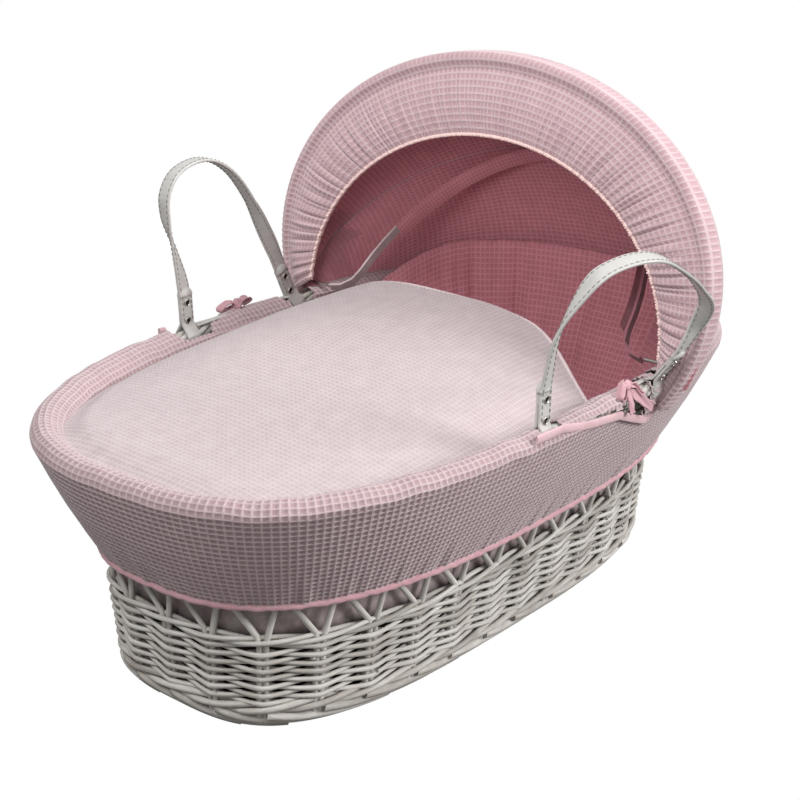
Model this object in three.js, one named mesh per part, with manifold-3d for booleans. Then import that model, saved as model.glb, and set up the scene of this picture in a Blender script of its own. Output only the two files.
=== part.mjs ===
// Wicker baby basket with padded dressing, folding hood, lift-off coverlet and two carrying handles.
// Millimetres. +X runs from the foot end to the head end, +Y is the left side, +Z is up.
// The origin is on the resting plane, under the middle of the basket.
import * as THREE from 'three';
import { mergeVertices } from 'three/addons/utils/BufferGeometryUtils.js';
import Module from 'manifold-3d';

const wasm = await Module();
wasm.setup();

// ---------------------------------------------------------------- driving dimensions
const GAP = 0.4;                     // clearance between pieces that touch
const STATIONS = 48;                 // steps round the basket's oval

// The wall's outer face: half-lengths to the foot and head ends, half-width and squareness by height.
const WALL = [
  { z: 0, foot: 352, head: 337, half: 164, power: 3.2 },
  { z: 104, foot: 360, head: 336, half: 181, power: 3.1 },
  { z: 140, foot: 362, head: 352, half: 189, power: 2.75 },
  { z: 265, foot: 405, head: 405, half: 248, power: 2.82 },
];
const RIM = WALL[3];
const FOOT_DIP = 14;                 // how far the rim dips at the foot end
const DIP_START = 140;               // height where the dip begins

const BASE_HEIGHT = 8;
const FOOT_BORDER = { width: 16, height: 20 };
const WALL_THICKNESS = 11;
const LATTICE = { low: 104.5, high: 140.5, hoop: 4, hoopWidth: 6, stake: 5, pairs: 24, slant: 0.62 };
const WEAVE = { middle: 200, top: 250 };
const RIM_RADIUS = 9;
const LINING = { inset: 12.5, thickness: 2.5, low: 21, high: 232 };

const MATTRESS = { low: 12.5, high: 50, foot: 322, head: 306, half: 138, power: 3.2 };
const SHEET_THICKNESS = 1.2;
const BUMPER = { inset: 17, thickness: 12, fullness: 1.5, low: 66, shoulder: 205, side: 230, crown: 4 };
const BUMPER_RISE = { height: 76, from: 90, to: 330 };   // the bumper climbs towards the head end
const SKIRT = { roll: 14, thickness: 3, flapLow: 240, flapInset: 15.8 };
const SLIT = { half: 114, low: 236, depth: 70, height: 60 };   // the skirt's cut-outs under the handles
const HEM = { z: 143, foot: 372, head: 371, half: 199, power: 2.7, height: 6.5, depth: 5 };
const COVERLET = { foot: -376, head: 112, half: 217.5, power: 2.8, edge: 253, thickness: 10 };

// The hood turns about one line across the basket; every arch lies in a plane through that line.
const PIVOT = { x: 127, z: 283, inner: 223.2, outer: 263, radius: 2 };
const FRONT = { lean: 8, centre: 70, half: 301, rise: 227, foot: -20 };
const MOUTH = { centre: 6, half: 245, rise: 201, foot: 4 };
const MIDDLE = { lean: 48, centre: 2, half: 188, rise: 243, foot: 27, splay: 219.5 };
const MIDDLE_FOOT = { steps: 3, drop: 3 };   // the curved foot that runs in from the pivot rod
const MIDDLE_FABRIC = { centre: 20, half: 268, rise: 232 };
const REAR_FABRIC = { lean: 88, foot: 418, half: 261, power: 2.82 };
const BOW = { width: 10, thickness: 3, inset: 20 };
const CASING = { inset: 3.2, above: 105, spare: 6, thickness: 2 };
const CANOPY = { thickness: 2, sag: 9, lowAngle: 4, gapAngle: 1.6 };
const BRIM = { thickness: 4, front: -11.4 };

const STRAP = { width: 18, thickness: 3, sleeve: 13.4, bore: 10.6, tab: 58, joined: 6.4 };
const RIVET = { shaft: 1.8, hole: 2.2, head: 4.5, headHeight: 1.2, radii: [20, 41] };
const RIM_STRAP = { near: RIM_RADIUS + 1.4, far: RIM_RADIUS + 3, lower: 0.3, turns: [20, 50, 80, 110] };

// The handles turn about a line through the rim where their legs stand.
const HANDLE_AXIS = { y: 246.8, z: 264.8 };

// Each tie is a knot with two loops and two tails, resting on the rim strip.
const TIES = { left: { side: 1, x: -2 }, right: { side: -1, x: 42 } };
const TIE = { lift: 20, out: 5, knot: 6, loop: 26, tail: 34, width: 9, cloth: 1.6 };

const COLOURS = {
  willow: { color: 0xb9b5ae, roughness: 0.75, metalness: 0 },
  board: { color: 0xa8a29a, roughness: 0.8, metalness: 0 },
  pink: { color: 0xe3c3c8, roughness: 0.95, metalness: 0 },
  lining: { color: 0xd6c6c6, roughness: 0.95, metalness: 0 },
  trim: { color: 0xdf9fae, roughness: 0.9, metalness: 0 },
  foam: { color: 0xf0ece4, roughness: 0.95, metalness: 0 },
  leather: { color: 0xc9c8c4, roughness: 0.5, metalness: 0 },
  strip: { color: 0xb7aaa6, roughness: 0.6, metalness: 0 },
  nickel: { color: 0xcfcac0, roughness: 0.25, metalness: 1 },
};

// ---------------------------------------------------------------- geometry helpers
const radians = (degrees) => degrees * Math.PI / 180;
const mix = (a, b, t) => a + (b - a) * t;
const clamp01 = (t) => Math.min(1, Math.max(0, t));
const smooth = (t) => clamp01(t) ** 2 * (3 - 2 * clamp01(t));

function signedVolume(points, triangles) {
  const total = triangles.reduce((sum, [a, b, c]) => {
    const cross = new THREE.Vector3().crossVectors(points[b], points[c]);
    return sum + points[a].dot(cross) / 6;
  }, 0);
  return total;
}

// A closed body from shared points and triangles, turned so that its faces point out.
function closedBody(points, triangles) {
  const outward = signedVolume(points, triangles) > 0;
  const order = outward ? triangles : triangles.map(([a, b, c]) => [a, c, b]);
  const geometry = new THREE.BufferGeometry();
  const flat = points.flatMap((p) => [p.x, p.y, p.z]);
  geometry.setAttribute('position', new THREE.Float32BufferAttribute(flat, 3));
  geometry.setIndex(order.flat());
  return geometry;
}

function quad(triangles, a, b, c, d) {
  triangles.push([a, b, c], [a, c, d]);
}

// Sweeps closed sections into a body: sections[i] is a loop of points, the last joined to the first or capped.
function sectionBody(sections, joined) {
  const size = sections[0].length;
  const points = sections.flat();
  const triangles = [];
  const spans = joined ? sections.length : sections.length - 1;
  for (let i = 0; i < spans; i++) {
    const next = (i + 1) % sections.length;
    for (let j = 0; j < size; j++) {
      const k = (j + 1) % size;
      quad(triangles, i * size + j, next * size + j, next * size + k, i * size + k);
    }
  }
  if (!joined) {
    const last = (sections.length - 1) * size;
    for (let j = 1; j < size - 1; j++) {
      triangles.push([0, j, j + 1], [last, last + j + 1, last + j]);
    }
  }
  return closedBody(points, triangles);
}

// A sheet of even thickness over a grid of points; the second face lies along the grid's normals.
function sheetBody(point, normal, thickness, across, along) {
  const front = [];
  const back = [];
  for (let i = 0; i <= across; i++) {
    for (let j = 0; j <= along; j++) {
      const p = point(i / across, j / along);
      front.push(p);
      back.push(p.clone().addScaledVector(normal(p, i / across, j / along), thickness));
    }
  }
  const count = front.length;
  const at = (i, j) => i * (along + 1) + j;
  const triangles = [];
  for (let i = 0; i < across; i++) {
    for (let j = 0; j < along; j++) {
      quad(triangles, at(i, j), at(i + 1, j), at(i + 1, j + 1), at(i, j + 1));
      quad(triangles, count + at(i, j), count + at(i, j + 1), count + at(i + 1, j + 1), count + at(i + 1, j));
    }
  }
  const edge = [];
  for (let i = 0; i < across; i++) edge.push(at(i, 0));
  for (let j = 0; j < along; j++) edge.push(at(across, j));
  for (let i = across; i > 0; i--) edge.push(at(i, along));
  for (let j = along; j > 0; j--) edge.push(at(0, j));
  edge.forEach((a, index) => {
    const b = edge[(index + 1) % edge.length];
    quad(triangles, b, a, count + a, count + b);
  });
  return closedBody(front.concat(back), triangles);
}

function solid(geometry) {
  const bare = geometry.clone();
  bare.deleteAttribute('normal');
  bare.deleteAttribute('uv');
  const merged = mergeVertices(bare, 1e-4);
  return new wasm.Manifold(new wasm.Mesh({
    numProp: 3,
    vertProperties: new Float32Array(merged.attributes.position.array),
    triVerts: new Uint32Array(merged.index.array),
  }));
}

function fromSolid(manifold) {
  const mesh = manifold.getMesh();
  const geometry = new THREE.BufferGeometry();
  geometry.setAttribute('position', new THREE.BufferAttribute(mesh.vertProperties, 3));
  geometry.setIndex(new THREE.BufferAttribute(mesh.triVerts, 1));
  return geometry;
}

const fuse = (...geometries) => fromSolid(geometries.map(solid).reduce((a, b) => a.add(b)));
const cut = (geometry, ...tools) => fromSolid(tools.map(solid).reduce((a, b) => a.subtract(b), solid(geometry)));

// ---------------------------------------------------------------- the oval and the wall
function ovalPoint(angle, oval, inset, z) {
  const c = Math.cos(angle);
  const s = Math.sin(angle);
  const { half, power } = oval;
  const length = c < 0 ? oval.foot : oval.head;
  const scale = (Math.abs(c) ** power + Math.abs(s) ** power) ** (-1 / power);
  const nx = Math.sign(c) * Math.abs(c * scale) ** (power - 1) / length;
  const ny = Math.sign(s) * Math.abs(s * scale) ** (power - 1) / half;
  const norm = Math.hypot(nx, ny);
  const x = length * c * scale - inset * nx / norm;
  const y = half * s * scale - inset * ny / norm;
  const dip = FOOT_DIP * clamp01(-x / RIM.foot) ** 2 * clamp01((z - DIP_START) / (RIM.z - DIP_START));
  return new THREE.Vector3(x, y, z - dip);
}

function wallOval(z) {
  const level = Math.min(z, RIM.z);
  const upper = Math.max(1, WALL.findIndex((row) => row.z >= level));
  const [a, b] = [WALL[upper - 1], WALL[upper]];
  const t = (level - a.z) / (b.z - a.z);
  const blend = (key) => mix(a[key], b[key], t);
  return { foot: blend('foot'), head: blend('head'), half: blend('half'), power: blend('power') };
}

const wallPoint = (angle, z, inset) => ovalPoint(angle, wallOval(z), inset, z);

// A ring round the basket; profile(angle) gives one closed loop of points.
function ringBody(profile) {
  const sections = [];
  for (let i = 0; i < STATIONS; i++) sections.push(profile(2 * Math.PI * i / STATIONS));
  return sectionBody(sections, true);
}

function wallRing(levels, outer, inner) {
  return ringBody((angle) => [
    ...levels.map((z) => wallPoint(angle, z, outer)),
    ...[...levels].reverse().map((z) => wallPoint(angle, z, inner)),
  ]);
}

function plate(oval, low, high, inset = 0) {
  const shape = new THREE.Shape();
  for (let i = 0; i < STATIONS; i++) {
    const p = ovalPoint(2 * Math.PI * i / STATIONS, oval, inset, 0);
    if (i === 0) shape.moveTo(p.x, p.y);
    else shape.lineTo(p.x, p.y);
  }
  shape.closePath();
  const geometry = new THREE.ExtrudeGeometry(shape, { depth: high - low, bevelEnabled: false });
  geometry.translate(0, 0, low);
  return geometry;
}

// ---------------------------------------------------------------- basket
function makeBaseBoard() {
  return plate(WALL[0], 0, BASE_HEIGHT, FOOT_BORDER.width + GAP);
}

function makeFootBorder() {
  return wallRing([0, FOOT_BORDER.height], 0, FOOT_BORDER.width);
}

function makeLowerWeave() {
  return wallRing([FOOT_BORDER.height + GAP, LATTICE.low - GAP], 0, WALL_THICKNESS);
}

function makeUpperWeave() {
  return wallRing([LATTICE.high + GAP, WEAVE.middle, WEAVE.top], 0, WALL_THICKNESS);
}

function beam(from, to, size) {
  const geometry = new THREE.BoxGeometry(size, size, from.distanceTo(to));
  const turn = new THREE.Quaternion().setFromUnitVectors(
    new THREE.Vector3(0, 0, 1), to.clone().sub(from).normalize());
  geometry.applyQuaternion(turn);
  const middle = from.clone().add(to).multiplyScalar(0.5);
  return geometry.translate(middle.x, middle.y, middle.z);
}

function makeLattice() {
  const { low, high, hoop, hoopWidth, stake, pairs } = LATTICE;
  const inset = WALL_THICKNESS / 2;
  const rings = [[low, low + hoop], [high - hoop, high]].map(
    (levels) => wallRing(levels, inset - hoopWidth / 2, inset + hoopWidth / 2));
  const stakes = [];
  for (let i = 0; i < pairs; i++) {
    const foot = 2 * Math.PI * i / pairs;
    const slant = LATTICE.slant * 2 * Math.PI / pairs;
    const bottom = low + 0.8 * hoop;
    const top = high - 0.8 * hoop;
    stakes.push(beam(wallPoint(foot, bottom, inset), wallPoint(foot, top, inset), stake));
    stakes.push(beam(wallPoint(foot, bottom, inset), wallPoint(foot - slant, top, inset), stake));
  }
  return fuse(...rings, ...stakes);
}

function makeRimBorder() {
  const sides = 8;
  return ringBody((angle) => Array.from({ length: sides }, (_, j) => {
    const turn = 2 * Math.PI * (j + 0.5) / sides;
    const point = ovalPoint(angle, RIM, RIM_RADIUS * Math.cos(turn), RIM.z);
    return point.setZ(point.z + RIM_RADIUS * Math.sin(turn));
  }));
}

function makeWallLining() {
  const { inset, thickness, low, high } = LINING;
  return wallRing([low, WALL[1].z, WALL[2].z, high], inset, inset + thickness);
}

// ---------------------------------------------------------------- bedding and dressing
function makeMattressSheet() {
  const skin = SHEET_THICKNESS + GAP;
  const outer = plate(MATTRESS, MATTRESS.low, MATTRESS.high + skin, -skin);
  const hollow = plate(MATTRESS, MATTRESS.low - 1, MATTRESS.high + GAP, -GAP);
  return cut(outer, hollow);
}

function bumperTop(angle) {
  const x = wallPoint(angle, RIM.z, BUMPER.inset).x;
  const { height, from, to } = BUMPER_RISE;
  return BUMPER.side + height * smooth((x - from) / (to - from));
}

function makeBumper() {
  const { inset, thickness, fullness, low, shoulder, crown } = BUMPER;
  return ringBody((angle) => {
    const top = bumperTop(angle);
    const levels = [low, WALL[1].z, WALL[2].z, shoulder, top - crown];
    const outer = levels.map((z) => wallPoint(angle, z, inset));
    const ridge = wallPoint(angle, top, inset + thickness / 2);
    const inner = levels.map((z) => wallPoint(angle, z, inset + thickness + fullness)).reverse();
    return [...outer, ridge, ...inner];
  });
}

// The skirt hangs from the rim, rolls over it and turns down inside as a short flap.
function skirtFace(angle, offset) {
  const hem = (z) => ovalPoint(angle, HEM, SKIRT.roll - offset, z);
  const roll = (turn) => {
    const point = ovalPoint(angle, RIM, -offset * Math.cos(radians(turn)), RIM.z);
    return point.setZ(point.z + offset * Math.sin(radians(turn)));
  };
  const flap = wallPoint(angle, SKIRT.flapLow, SKIRT.flapInset + offset - SKIRT.roll);
  return [hem(HEM.z), ...[0, 36, 72, 108, 144, 180].map(roll), flap];
}

function makeSkirt() {
  const { roll, thickness } = SKIRT;
  const shell = ringBody((angle) => [
    ...skirtFace(angle, roll),
    ...skirtFace(angle, roll - thickness).reverse(),
  ]);
  const slits = [-1, 1].map((side) => {
    const box = new THREE.BoxGeometry(2 * SLIT.half, SLIT.depth, SLIT.height);
    return box.translate(0, side * RIM.half, SLIT.low + SLIT.height / 2);
  });
  return cut(shell, ...slits);
}

function makeSkirtHem() {
  const { z, height, depth } = HEM;
  const top = z - GAP;
  return ringBody((angle) => [
    ovalPoint(angle, HEM, -1, top), ovalPoint(angle, HEM, depth - 1, top),
    ovalPoint(angle, HEM, depth - 1, top - height), ovalPoint(angle, HEM, -1, top - height),
  ]);
}

function coverletTop(x, lateral) {
  const { foot, head, edge } = COVERLET;
  const dome = mix(6, 58, smooth((x - foot) / (head - foot)));
  const fullness = lateral > 0 ? 4 : 2.3;
  return edge + 8 * lateral + dome * (1 - Math.abs(lateral) ** fullness);
}

function makeCoverlet() {
  const { foot, head, half, power, thickness } = COVERLET;
  const reach = foot * 1.004;
  const point = (u, v) => {
    const x = mix(foot, head, u ** 1.5);
    const width = x > 0 ? half * (1 - 0.06 * x / head) : half * (1 - (x / reach) ** power) ** (1 / power);
    const lateral = 2 * v - 1;
    return new THREE.Vector3(x, width * lateral, coverletTop(x, lateral));
  };
  return sheetBody(point, () => new THREE.Vector3(0, 0, -1), thickness, 13, 10);
}

// ---------------------------------------------------------------- hood
// Places a point of an arch's plane: across is along Y, up is along the leaning plane.
function inPlane(lean, across, up, behind = 0) {
  const [c, s] = [Math.cos(radians(lean)), Math.sin(radians(lean))];
  return new THREE.Vector3(PIVOT.x + up * s + behind * c, across, PIVOT.z + up * c - behind * s);
}

// Points along an arch, from the right foot over the top to the left foot.
function archPoints(arch, inset, steps) {
  const half = arch.half - inset;
  const rise = arch.rise - inset;
  const start = Math.asin((arch.foot - arch.centre) / rise);
  return Array.from({ length: steps + 1 }, (_, i) => {
    const turn = mix(start, Math.PI - start, i / steps);
    return [-half * Math.cos(turn), arch.centre + rise * Math.sin(turn)];
  });
}

// A flat strip bent along an arch, its width square to the arch's plane.
function archStrip(path, lean, width, thickness, behind) {
  const sections = path.map(([across, up], i) => {
    const [before, after] = [path[Math.max(0, i - 1)], path[Math.min(path.length - 1, i + 1)]];
    const run = Math.hypot(after[0] - before[0], after[1] - before[1]);
    const out = [-(after[1] - before[1]) / run, (after[0] - before[0]) / run];
    const corner = (outward, back) => inPlane(
      lean, across + out[0] * outward, up + out[1] * outward, behind + back);
    return [corner(0, 0), corner(thickness, 0), corner(thickness, width), corner(0, width)];
  });
  return sectionBody(sections, false);
}

function makeBrim() {
  const steps = 36;
  const outer = archPoints(FRONT, 0, steps);
  const inner = archPoints(MOUTH, -3.5, steps);
  const sections = outer.map((rim, i) => [
    inPlane(FRONT.lean, ...rim, BRIM.front), inPlane(FRONT.lean, ...rim, BRIM.front + BRIM.thickness),
    inPlane(FRONT.lean, ...inner[i], BRIM.front + BRIM.thickness), inPlane(FRONT.lean, ...inner[i], BRIM.front),
  ]);
  return sectionBody(sections, false);
}

function makeBrimElastic() {
  return archStrip(archPoints(MOUTH, 0.5, 36), FRONT.lean, BRIM.thickness, 3.5, BRIM.front);
}

function makeFrontBow() {
  const arch = archPoints({ ...FRONT, foot: -6 }, BOW.inset, 32);
  return archStrip(arch, FRONT.lean, BOW.width, BOW.thickness, -BOW.width / 2);
}

// The middle bow stands inside the bumper; each foot runs in from its pivot rod and turns up into the arch.
function middlePath() {
  const arch = archPoints(MIDDLE, 0, 28);
  const [reach, up] = [MIDDLE.splay + arch[0][0], arch[0][1] + MIDDLE_FOOT.drop];
  const foot = (side) => Array.from({ length: MIDDLE_FOOT.steps }, (_, i) => {
    const turn = Math.PI / 2 * i / MIDDLE_FOOT.steps;
    return [side * (MIDDLE.splay - reach * Math.sin(turn)), up * (1 - Math.cos(turn)) - MIDDLE_FOOT.drop];
  });
  return [...foot(-1), ...arch, ...foot(1).reverse()];
}

function makeMiddleBow() {
  return archStrip(middlePath(), MIDDLE.lean, BOW.width, BOW.thickness, -BOW.width / 2);
}

function makeBowCasing() {
  const { inset, above, spare, thickness } = CASING;
  const arch = archPoints(MIDDLE, inset, 28).filter(([, up]) => up > above);
  return archStrip(arch, MIDDLE.lean, BOW.width + 2 * spare, thickness, -BOW.width / 2 - spare);
}

function ellipseReach(arch, angle) {
  const [c, s] = [Math.cos(angle), Math.sin(angle)];
  const a = (c / arch.half) ** 2 + (s / arch.rise) ** 2;
  const b = -2 * s * arch.centre / arch.rise ** 2;
  const k = (arch.centre / arch.rise) ** 2 - 1;
  return (-b + Math.sqrt(b * b - 4 * a * k)) / (2 * a);
}

function rearReach(angle) {
  const { foot, half, power } = REAR_FABRIC;
  const outside = (r) => Math.abs(r * Math.cos(angle) / half) ** power
    + Math.abs((r * Math.sin(angle) + PIVOT.x) / foot) ** power > 1;
  let [low, high] = [0, foot];
  for (let i = 0; i < 40; i++) {
    const middle = (low + high) / 2;
    if (outside(middle)) high = middle;
    else low = middle;
  }
  return low;
}

// Distance of the canopy from the pivot line, by the plane's lean and the angle round the arch.
function canopyReach(lean, angle) {
  const middle = ellipseReach(MIDDLE_FABRIC, angle);
  const rear = lean > MIDDLE.lean;
  const t = rear
    ? (lean - MIDDLE.lean) / (REAR_FABRIC.lean - MIDDLE.lean)
    : (lean - FRONT.lean) / (MIDDLE.lean - FRONT.lean);
  const [from, to] = rear ? [middle, rearReach(angle)] : [ellipseReach(FRONT, angle), middle];
  return mix(from, to, t) - CANOPY.sag * 4 * t * (1 - t) * Math.sin(angle);
}

function makeCanopy(fromLean, toLean, steps) {
  const point = (u, v) => {
    const angle = radians(mix(CANOPY.lowAngle, 180 - CANOPY.lowAngle, u));
    const lean = mix(fromLean + CANOPY.gapAngle, toLean, v);
    const reach = canopyReach(lean, angle);
    return inPlane(lean, -reach * Math.cos(angle), reach * Math.sin(angle));
  };
  const inward = (p, u) => {
    const angle = radians(mix(CANOPY.lowAngle, 180 - CANOPY.lowAngle, u));
    const axisPoint = new THREE.Vector3(PIVOT.x, p.y, PIVOT.z);
    const radial = p.clone().sub(axisPoint).normalize().multiplyScalar(Math.sin(angle));
    return radial.add(new THREE.Vector3(0, -Math.cos(angle), 0)).normalize().negate();
  };
  return sheetBody(point, inward, CANOPY.thickness, 24, steps);
}

function makePivotRod(side) {
  const { x, z, inner, outer, radius } = PIVOT;
  const rod = new THREE.CylinderGeometry(radius, radius, outer - inner, 12);
  return rod.translate(x, side * (inner + outer) / 2, z);
}

// ---------------------------------------------------------------- carrying handles
// Each path point is [x, distance from the rim's axis, outward tilt, twist]: a twist of 90 turns the
// strap's width square to the loop. Both ends start inside the double tabs of the legs.
const LEFT_HANDLE = {
  side: 1,
  legs: [{ x: -86, tilt: 0, slant: -2 }, { x: 88, tilt: 0, slant: -24 }],
  path: [
    [-87, 38, 0, 0], [-91, 66, 0, 8], [-100, 102, 0, 40], [-110, 139, 0, 80], [-110, 166, 0, 90],
    [-96, 187, 0, 90], [-69, 197, 0, 90], [-42, 195, 0, 90], [-11, 177, 0, 90], [20, 138, 0, 88],
    [41, 100, 0, 50], [58, 67, 0, 10], [71, 37, 0, 0],
  ],
};
const RIGHT_HANDLE = {
  side: -1,
  legs: [{ x: -94, tilt: 0, slant: 2 }, { x: 98, tilt: 36, slant: 3 }],
  path: [
    [-92, 38, 0, 0], [-92, 62, 3, 4], [-95, 108, 8, 20], [-87, 144, 12, 55], [-76, 170, 15, 85],
    [-48, 183, 18, 90], [-17, 185, 21, 90], [28, 167, 23, 90], [78, 138, 26, 90], [103, 114, 30, 75],
    [106, 84, 32, 30], [101, 58, 35, 5], [100, 38, 36, 0],
  ],
};

function aboutRim(side, x, reach, tilt) {
  const [c, s] = [Math.cos(radians(tilt)), Math.sin(radians(tilt))];
  return new THREE.Vector3(x, side * (HANDLE_AXIS.y + reach * s), HANDLE_AXIS.z + reach * c);
}

function makeStrapRibbon({ side, path }) {
  const knots = path.map(([x, reach, tilt]) => aboutRim(side, x, reach, tilt));
  const curve = new THREE.CatmullRomCurve3(knots, false, 'centripetal');
  const steps = 30;
  const sections = [];
  for (let i = 0; i <= steps; i++) {
    const t = i / steps;
    const place = t * (path.length - 1);
    const k = Math.min(path.length - 2, Math.floor(place));
    const tilt = mix(path[k][2], path[k + 1][2], place - k);
    const twist = radians(mix(path[k][3], path[k + 1][3], place - k));
    const along = curve.getTangent(t);
    const out = aboutRim(side, 0, 1, tilt + 90).sub(aboutRim(side, 0, 0, 0));
    const flat = new THREE.Vector3().crossVectors(out, along).normalize();
    const face = new THREE.Vector3().crossVectors(along, flat).normalize();
    const width = flat.clone().multiplyScalar(Math.cos(twist)).addScaledVector(face, Math.sin(twist));
    const depth = new THREE.Vector3().crossVectors(width, along).normalize();
    const corner = (w, d) => curve.getPoint(t)
      .addScaledVector(width, w * STRAP.width / 2).addScaledVector(depth, d * STRAP.thickness / 2);
    sections.push([corner(-1, -1), corner(1, -1), corner(1, 1), corner(-1, 1)]);
  }
  return sectionBody(sections, false);
}

// A leg: the sleeve round the rim and the double tab above it, in the plane of the leg.
function placeLeg(geometry, side, leg) {
  geometry.rotateX(radians(-side * leg.tilt));
  return geometry.translate(leg.x, side * HANDLE_AXIS.y, HANDLE_AXIS.z);
}

function makeLegSleeve(side, leg) {
  const ring = new THREE.Shape();
  ring.absarc(0, 0, STRAP.sleeve, 0, 2 * Math.PI);
  const hole = new THREE.Path();
  hole.absarc(0, 0, STRAP.bore, 0, 2 * Math.PI, true);
  ring.holes.push(hole);
  const sleeve = new THREE.ExtrudeGeometry(ring, {
    depth: STRAP.width, bevelEnabled: false, curveSegments: 14,
  });
  sleeve.translate(0, 0, -STRAP.width / 2);
  sleeve.rotateY(Math.PI / 2);
  return placeLeg(sleeve, side, leg);
}

function makeLegTab(side, leg) {
  const half = STRAP.width / 2;
  const shape = new THREE.Shape();
  shape.moveTo(-half, 0);
  shape.lineTo(half, 0);
  shape.lineTo(half, STRAP.tab - half);
  shape.absarc(0, STRAP.tab - half, half, 0, Math.PI);
  shape.closePath();
  const tab = new THREE.ExtrudeGeometry(shape, { depth: STRAP.joined, bevelEnabled: false, curveSegments: 5 });
  tab.rotateX(Math.PI / 2);
  tab.translate(0, STRAP.joined / 2, 0);
  tab.rotateY(radians(leg.slant));
  return placeLeg(tab, side, leg);
}

function rivetCylinder(side, leg, reach, radius, from, to) {
  const peg = new THREE.CylinderGeometry(radius, radius, to - from, 8);
  peg.translate(0, side * (from + to) / 2, reach);
  peg.rotateY(radians(leg.slant));
  return placeLeg(peg, side, leg);
}

function makeHandle(handle) {
  const { side, legs } = handle;
  const bores = legs.map((leg) => {
    const bore = new THREE.CylinderGeometry(STRAP.bore, STRAP.bore, 2 * STRAP.width, 14);
    return bore.rotateZ(Math.PI / 2).translate(leg.x, side * HANDLE_AXIS.y, HANDLE_AXIS.z);
  });
  const holes = legs.flatMap((leg) => RIVET.radii.map(
    (reach) => rivetCylinder(side, leg, reach, RIVET.hole, -8, 8)));
  const leather = fuse(
    makeStrapRibbon(handle), ...legs.map((leg) => makeLegTab(side, leg)),
    ...legs.map((leg) => makeLegSleeve(side, leg)));
  return cut(leather, ...bores, ...holes);
}

function makeRivet(side, leg, reach) {
  const face = STRAP.joined / 2 + GAP;
  const end = face + RIVET.headHeight;
  return fuse(
    rivetCylinder(side, leg, reach, RIVET.shaft, -end, end),
    rivetCylinder(side, leg, reach, RIVET.head, face, end),
    rivetCylinder(side, leg, reach, RIVET.head, -end, -face));
}

// A leather strip on the rim between the legs of one handle.
function makeRimStrap({ side, legs }) {
  const [start, end] = [legs[0].x + STRAP.width, legs[1].x - STRAP.width];
  const { near, far, lower, turns } = RIM_STRAP;
  const steps = 10;
  const sections = Array.from({ length: steps + 1 }, (_, i) => {
    const x = mix(start, end, i / steps);
    const y = RIM.half * (1 - Math.abs(x / RIM.foot) ** RIM.power) ** (1 / RIM.power);
    const corner = (turn, reach) => new THREE.Vector3(
      x, side * (y + reach * Math.cos(radians(turn))), RIM.z - lower + reach * Math.sin(radians(turn)));
    return [...turns.map((turn) => corner(turn, near)), ...turns.map((turn) => corner(turn, far)).reverse()];
  });
  return sectionBody(sections, false);
}

// ---------------------------------------------------------------- ties
function tieCentre({ side, x }) {
  return new THREE.Vector3(x, side * (RIM.half + TIE.out), RIM.z + TIE.lift);
}

function makeTieKnot(tie) {
  const centre = tieCentre(tie);
  const knot = new THREE.SphereGeometry(TIE.knot, 8, 6);
  return knot.scale(1, 1, 0.8).translate(centre.x, centre.y, centre.z);
}

function clothRibbon(points, widthAxis) {
  const curve = new THREE.CatmullRomCurve3(points, false, 'centripetal');
  const steps = 9;
  const sections = [];
  for (let i = 0; i <= steps; i++) {
    const t = i / steps;
    const depth = new THREE.Vector3().crossVectors(widthAxis, curve.getTangent(t)).normalize();
    const corner = (w, d) => curve.getPoint(t)
      .addScaledVector(widthAxis, w * TIE.width / 2).addScaledVector(depth, d * TIE.cloth / 2);
    sections.push([corner(-1, -1), corner(1, -1), corner(1, 1), corner(-1, 1)]);
  }
  return sectionBody(sections, false);
}

function makeTieLoop(tie, way) {
  const centre = tieCentre(tie);
  const at = (along, out, up) => centre.clone().add(
    new THREE.Vector3(way * (TIE.knot + 1 + along), tie.side * out, up));
  const route = [at(0, 1, 1.5), at(12, 2, 6), at(TIE.loop, 4, 3), at(TIE.loop, 4, -2), at(12, 2, -3), at(0, 1, -1.5)];
  return clothRibbon(route, new THREE.Vector3(0, 1, 0));
}

function makeTieTail(tie, way) {
  const centre = tieCentre(tie);
  const at = (along, out, up) => centre.clone().add(
    new THREE.Vector3(way * along, tie.side * out, up));
  const route = [at(6, TIE.knot + 2, -1), at(10, 14, -8), at(16, 16, -20), at(20, 14, -TIE.tail)];
  return clothRibbon(route, new THREE.Vector3(way * 0.9, 0, 0.44).normalize());
}

// ---------------------------------------------------------------- assembly
const basket = new THREE.Group();

function add(name, geometry, material) {
  const mesh = new THREE.Mesh(geometry, new THREE.MeshStandardMaterial(COLOURS[material]));
  mesh.name = name;
  basket.add(mesh);
}

add('base_board', makeBaseBoard(), 'board');
add('foot_border', makeFootBorder(), 'willow');
add('side_weave_lower', makeLowerWeave(), 'willow');
add('stake_lattice', makeLattice(), 'willow');
add('side_weave_upper', makeUpperWeave(), 'willow');
add('rim_border', makeRimBorder(), 'willow');
add('wall_lining', makeWallLining(), 'lining');
add('mattress_core', plate(MATTRESS, MATTRESS.low, MATTRESS.high), 'foam');
add('mattress_sheet', makeMattressSheet(), 'lining');
add('bumper_pad', makeBumper(), 'pink');
add('skirt', makeSkirt(), 'pink');
add('skirt_hem', makeSkirtHem(), 'trim');
add('coverlet', makeCoverlet(), 'pink');
add('hood_canopy_front', makeCanopy(FRONT.lean, MIDDLE.lean, 6), 'pink');
add('hood_canopy_rear', makeCanopy(MIDDLE.lean, REAR_FABRIC.lean, 6), 'pink');
add('hood_brim', makeBrim(), 'pink');
add('brim_elastic', makeBrimElastic(), 'trim');
add('hood_front_bow', makeFrontBow(), 'strip');
add('hood_middle_bow', makeMiddleBow(), 'strip');
add('bow_casing', makeBowCasing(), 'pink');
add('hood_pivot_left', makePivotRod(1), 'nickel');
add('hood_pivot_right', makePivotRod(-1), 'nickel');

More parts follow.
